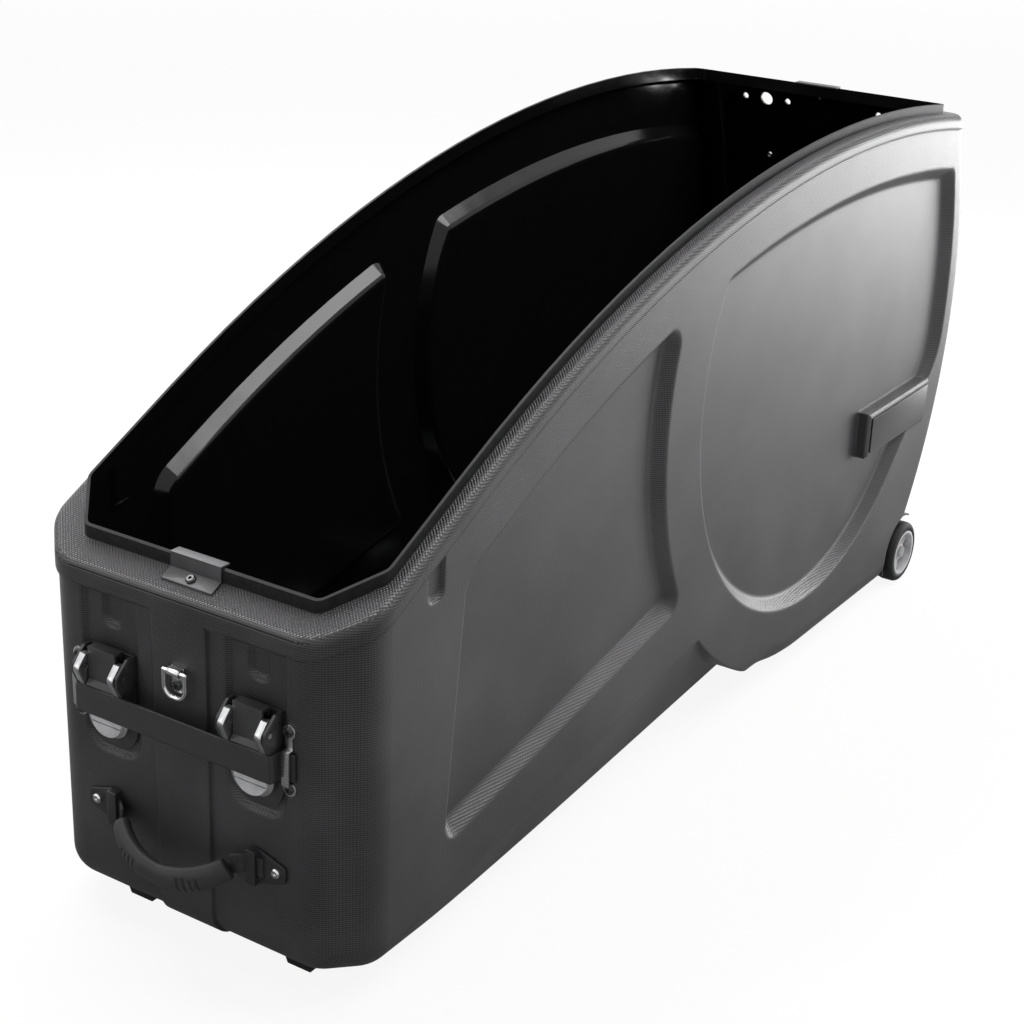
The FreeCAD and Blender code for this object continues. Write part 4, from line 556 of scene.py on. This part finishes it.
def grip_form():
    """The moulded grip: oval rings turned along its bow, with finger slots in two places."""
    middle, end = Vector((-0.6899, 0, 0.108)), Vector((-0.668, 0.066, 0.128))
    half_deep, half_high = 0.0088, 0.0125
    around, steps = 32, 72
    slim, swelling, end_round = 0.9, 0.1, 0.9
    taper_start, taper_share, taper_rate = 0.8, 0.96, 0.3
    first_slots, slots_each, slot_gap = (14, 48), 4, 3
    slot_edge, slot_depth, slot_reach = 0.0004, 0.0018, 0.8
    outward = Vector((-0.94, 0, -0.34))
    inward = Vector((end.x, 0, end.z)) - middle
    radius = (end.y**2 + inward.length_squared) / (2 * inward.length)
    hub = middle + inward.normalized() * radius
    axis = Vector((0, 1, 0)).cross(inward.normalized())
    sweep = math.asin(end.y / radius)

    def share(step):
        """The grip's thickness along its bow, slimmest in the middle and rounded at its ends."""
        off = abs(2 * step / steps - 1)
        swell = slim + swelling * math.sin(math.pi * off)
        if off >= taper_start:
            swell = taper_share - taper_rate * (off - taper_start)
        return swell * (end_round if step in (0, steps) else 1)

    def resize(ring, ratio):
        bmesh.ops.scale(bm, verts=ring, vec=[ratio] * 3, space=Matrix.Translation(-centre_of(ring)))

    bm = bmesh.new()
    ring = bmesh.ops.create_circle(bm, segments=around, radius=1)["verts"]
    bmesh.ops.rotate(bm, verts=ring, matrix=Matrix.Rotation(math.radians(90), 3, "X"))
    bmesh.ops.scale(bm, verts=ring, vec=(half_deep, 1, half_high))
    bmesh.ops.translate(bm, verts=ring, vec=middle)
    bmesh.ops.rotate(bm, verts=ring, cent=hub, matrix=Matrix.Rotation(sweep, 3, axis))
    edges = bm.edges[:]
    resize(ring, share(0))
    one_step = Matrix.Rotation(-2 * sweep / steps, 3, axis)
    rows = []
    for step in range(1, steps + 1):
        ring, edges, faces = new_row(bm, edges)
        rows.append(faces)
        bmesh.ops.rotate(bm, verts=ring, cent=hub, matrix=one_step)
        resize(ring, share(step) / share(step - 1))
    bmesh.ops.holes_fill(bm, edges=[edge for edge in bm.edges if edge.is_boundary])
    bmesh.ops.recalc_face_normals(bm, faces=bm.faces)
    for first in first_slots:
        for row in rows[first : first + slots_each * slot_gap : slot_gap]:
            slit = [face for face in row if face.normal.dot(outward) > slot_reach]
            bmesh.ops.inset_region(bm, faces=slit, thickness=slot_edge, depth=-slot_depth)
    return bm


def tyre_form(side):
    """A solid tyre turned about its axle: a flat tread with round shoulders."""
    shoulder, around = 0.007, 64
    low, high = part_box(f"wheel_tyre_{side}")
    hub_low, hub_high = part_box(f"wheel_hub_{side}")
    outer, inner = high.z / 2, (hub_high.x - hub_low.x) / 2
    axle = Vector(((low.x + high.x) / 2, 0, outer))
    near, far = sorted((low.y, high.y), key=abs)
    bm = bmesh.new()
    profile = [(inner, far), (outer, far), (outer, near), (inner, near)]
    corners = [bm.verts.new(axle + Vector((0, y, r))) for r, y in profile]
    section = bm.faces.new(corners)
    tread = corners[1:3] + list(section.edges)
    bmesh.ops.bevel(bm, geom=tread, offset=shoulder, affect="VERTICES", segments=8, profile=0.5, material=-1)
    rim = bm.edges[:]
    bmesh.ops.delete(bm, geom=bm.faces[:], context="FACES_ONLY")
    turned = rim + bm.verts[:]
    full_turn = 2 * math.pi
    bmesh.ops.spin(
        bm, geom=turned, cent=axle, axis=(0, 1, 0), angle=full_turn, steps=around, use_merge=True,
    )
    return bm


def tyre(side):
    mesh = closed_mesh(f"tyre_{side}", tyre_form(side), tyre_rubber)
    made = piece(f"tyre_{side}", mesh, f"wheel_{side}", f"wheel_tyre_{side}")


def grip():
    made = piece("grip", closed_mesh("grip", grip_form(), grip_rubber), "handle", "handle_grip")


# The case, piece by piece

clip_round, press_round, lever_round, foot_round = 0.0005, 0.0006, 0.0008, 0.0015
fine_round, plate_round, mould_round = 0.0003, 0.0004, 0.0009

shell_skin()
softened(clip_grey, clip_round, "front_lid_clip", "rear_lid_clip")
paint(dark_screw, "clip_screws", "anchor_rivets", "lock_plate_screw")
for side, sign in (("left", 1), ("right", -1)):
    softened(coat_black, press_round, f"latch_base_{side}", f"latch_hook_{side}")
    softened(satin_steel, lever_round, f"latch_lever_{side}")
    softened(grey_plastic, fine_round, f"latch_tongue_{side}", f"wheel_hub_{side}")
    softened(steel, plate_round, f"strap_anchor_{side}")
    softened(black_plastic, mould_round, f"handle_bracket_{side}", f"wheel_bracket_{side}")
    softened(foot_rubber, foot_round, f"front_foot_{side}")
    paint(satin_steel, f"latch_hook_pin_{side}", f"wheel_axle_{side}")
    tyre(side)
    handle_loop(side, sign)
softened(steel, plate_round, "lock_plate")
softened(plate_coat, plate_round, "name_plate")
paint(steel, "lock_ring", "latch_pivot_pins", "latch_rivets", "handle_screws", "foot_screws")
paint(steel, "wheel_bracket_screws", "rear_wall_bolts", "rail_screws", "fork_skewer", "cam_pin")
strap_band()
grip()
paint(grip_rubber, "cradle_pad")
softened(rail_metal, press_round, "bike_rail", "fork_mount")
paint(rail_metal, "skewer_nut", "skewer_lever")
softened(black_plastic, mould_round, "frame_cradle")
paint(black_plastic, "fork_mount_knob", "cradle_knob")
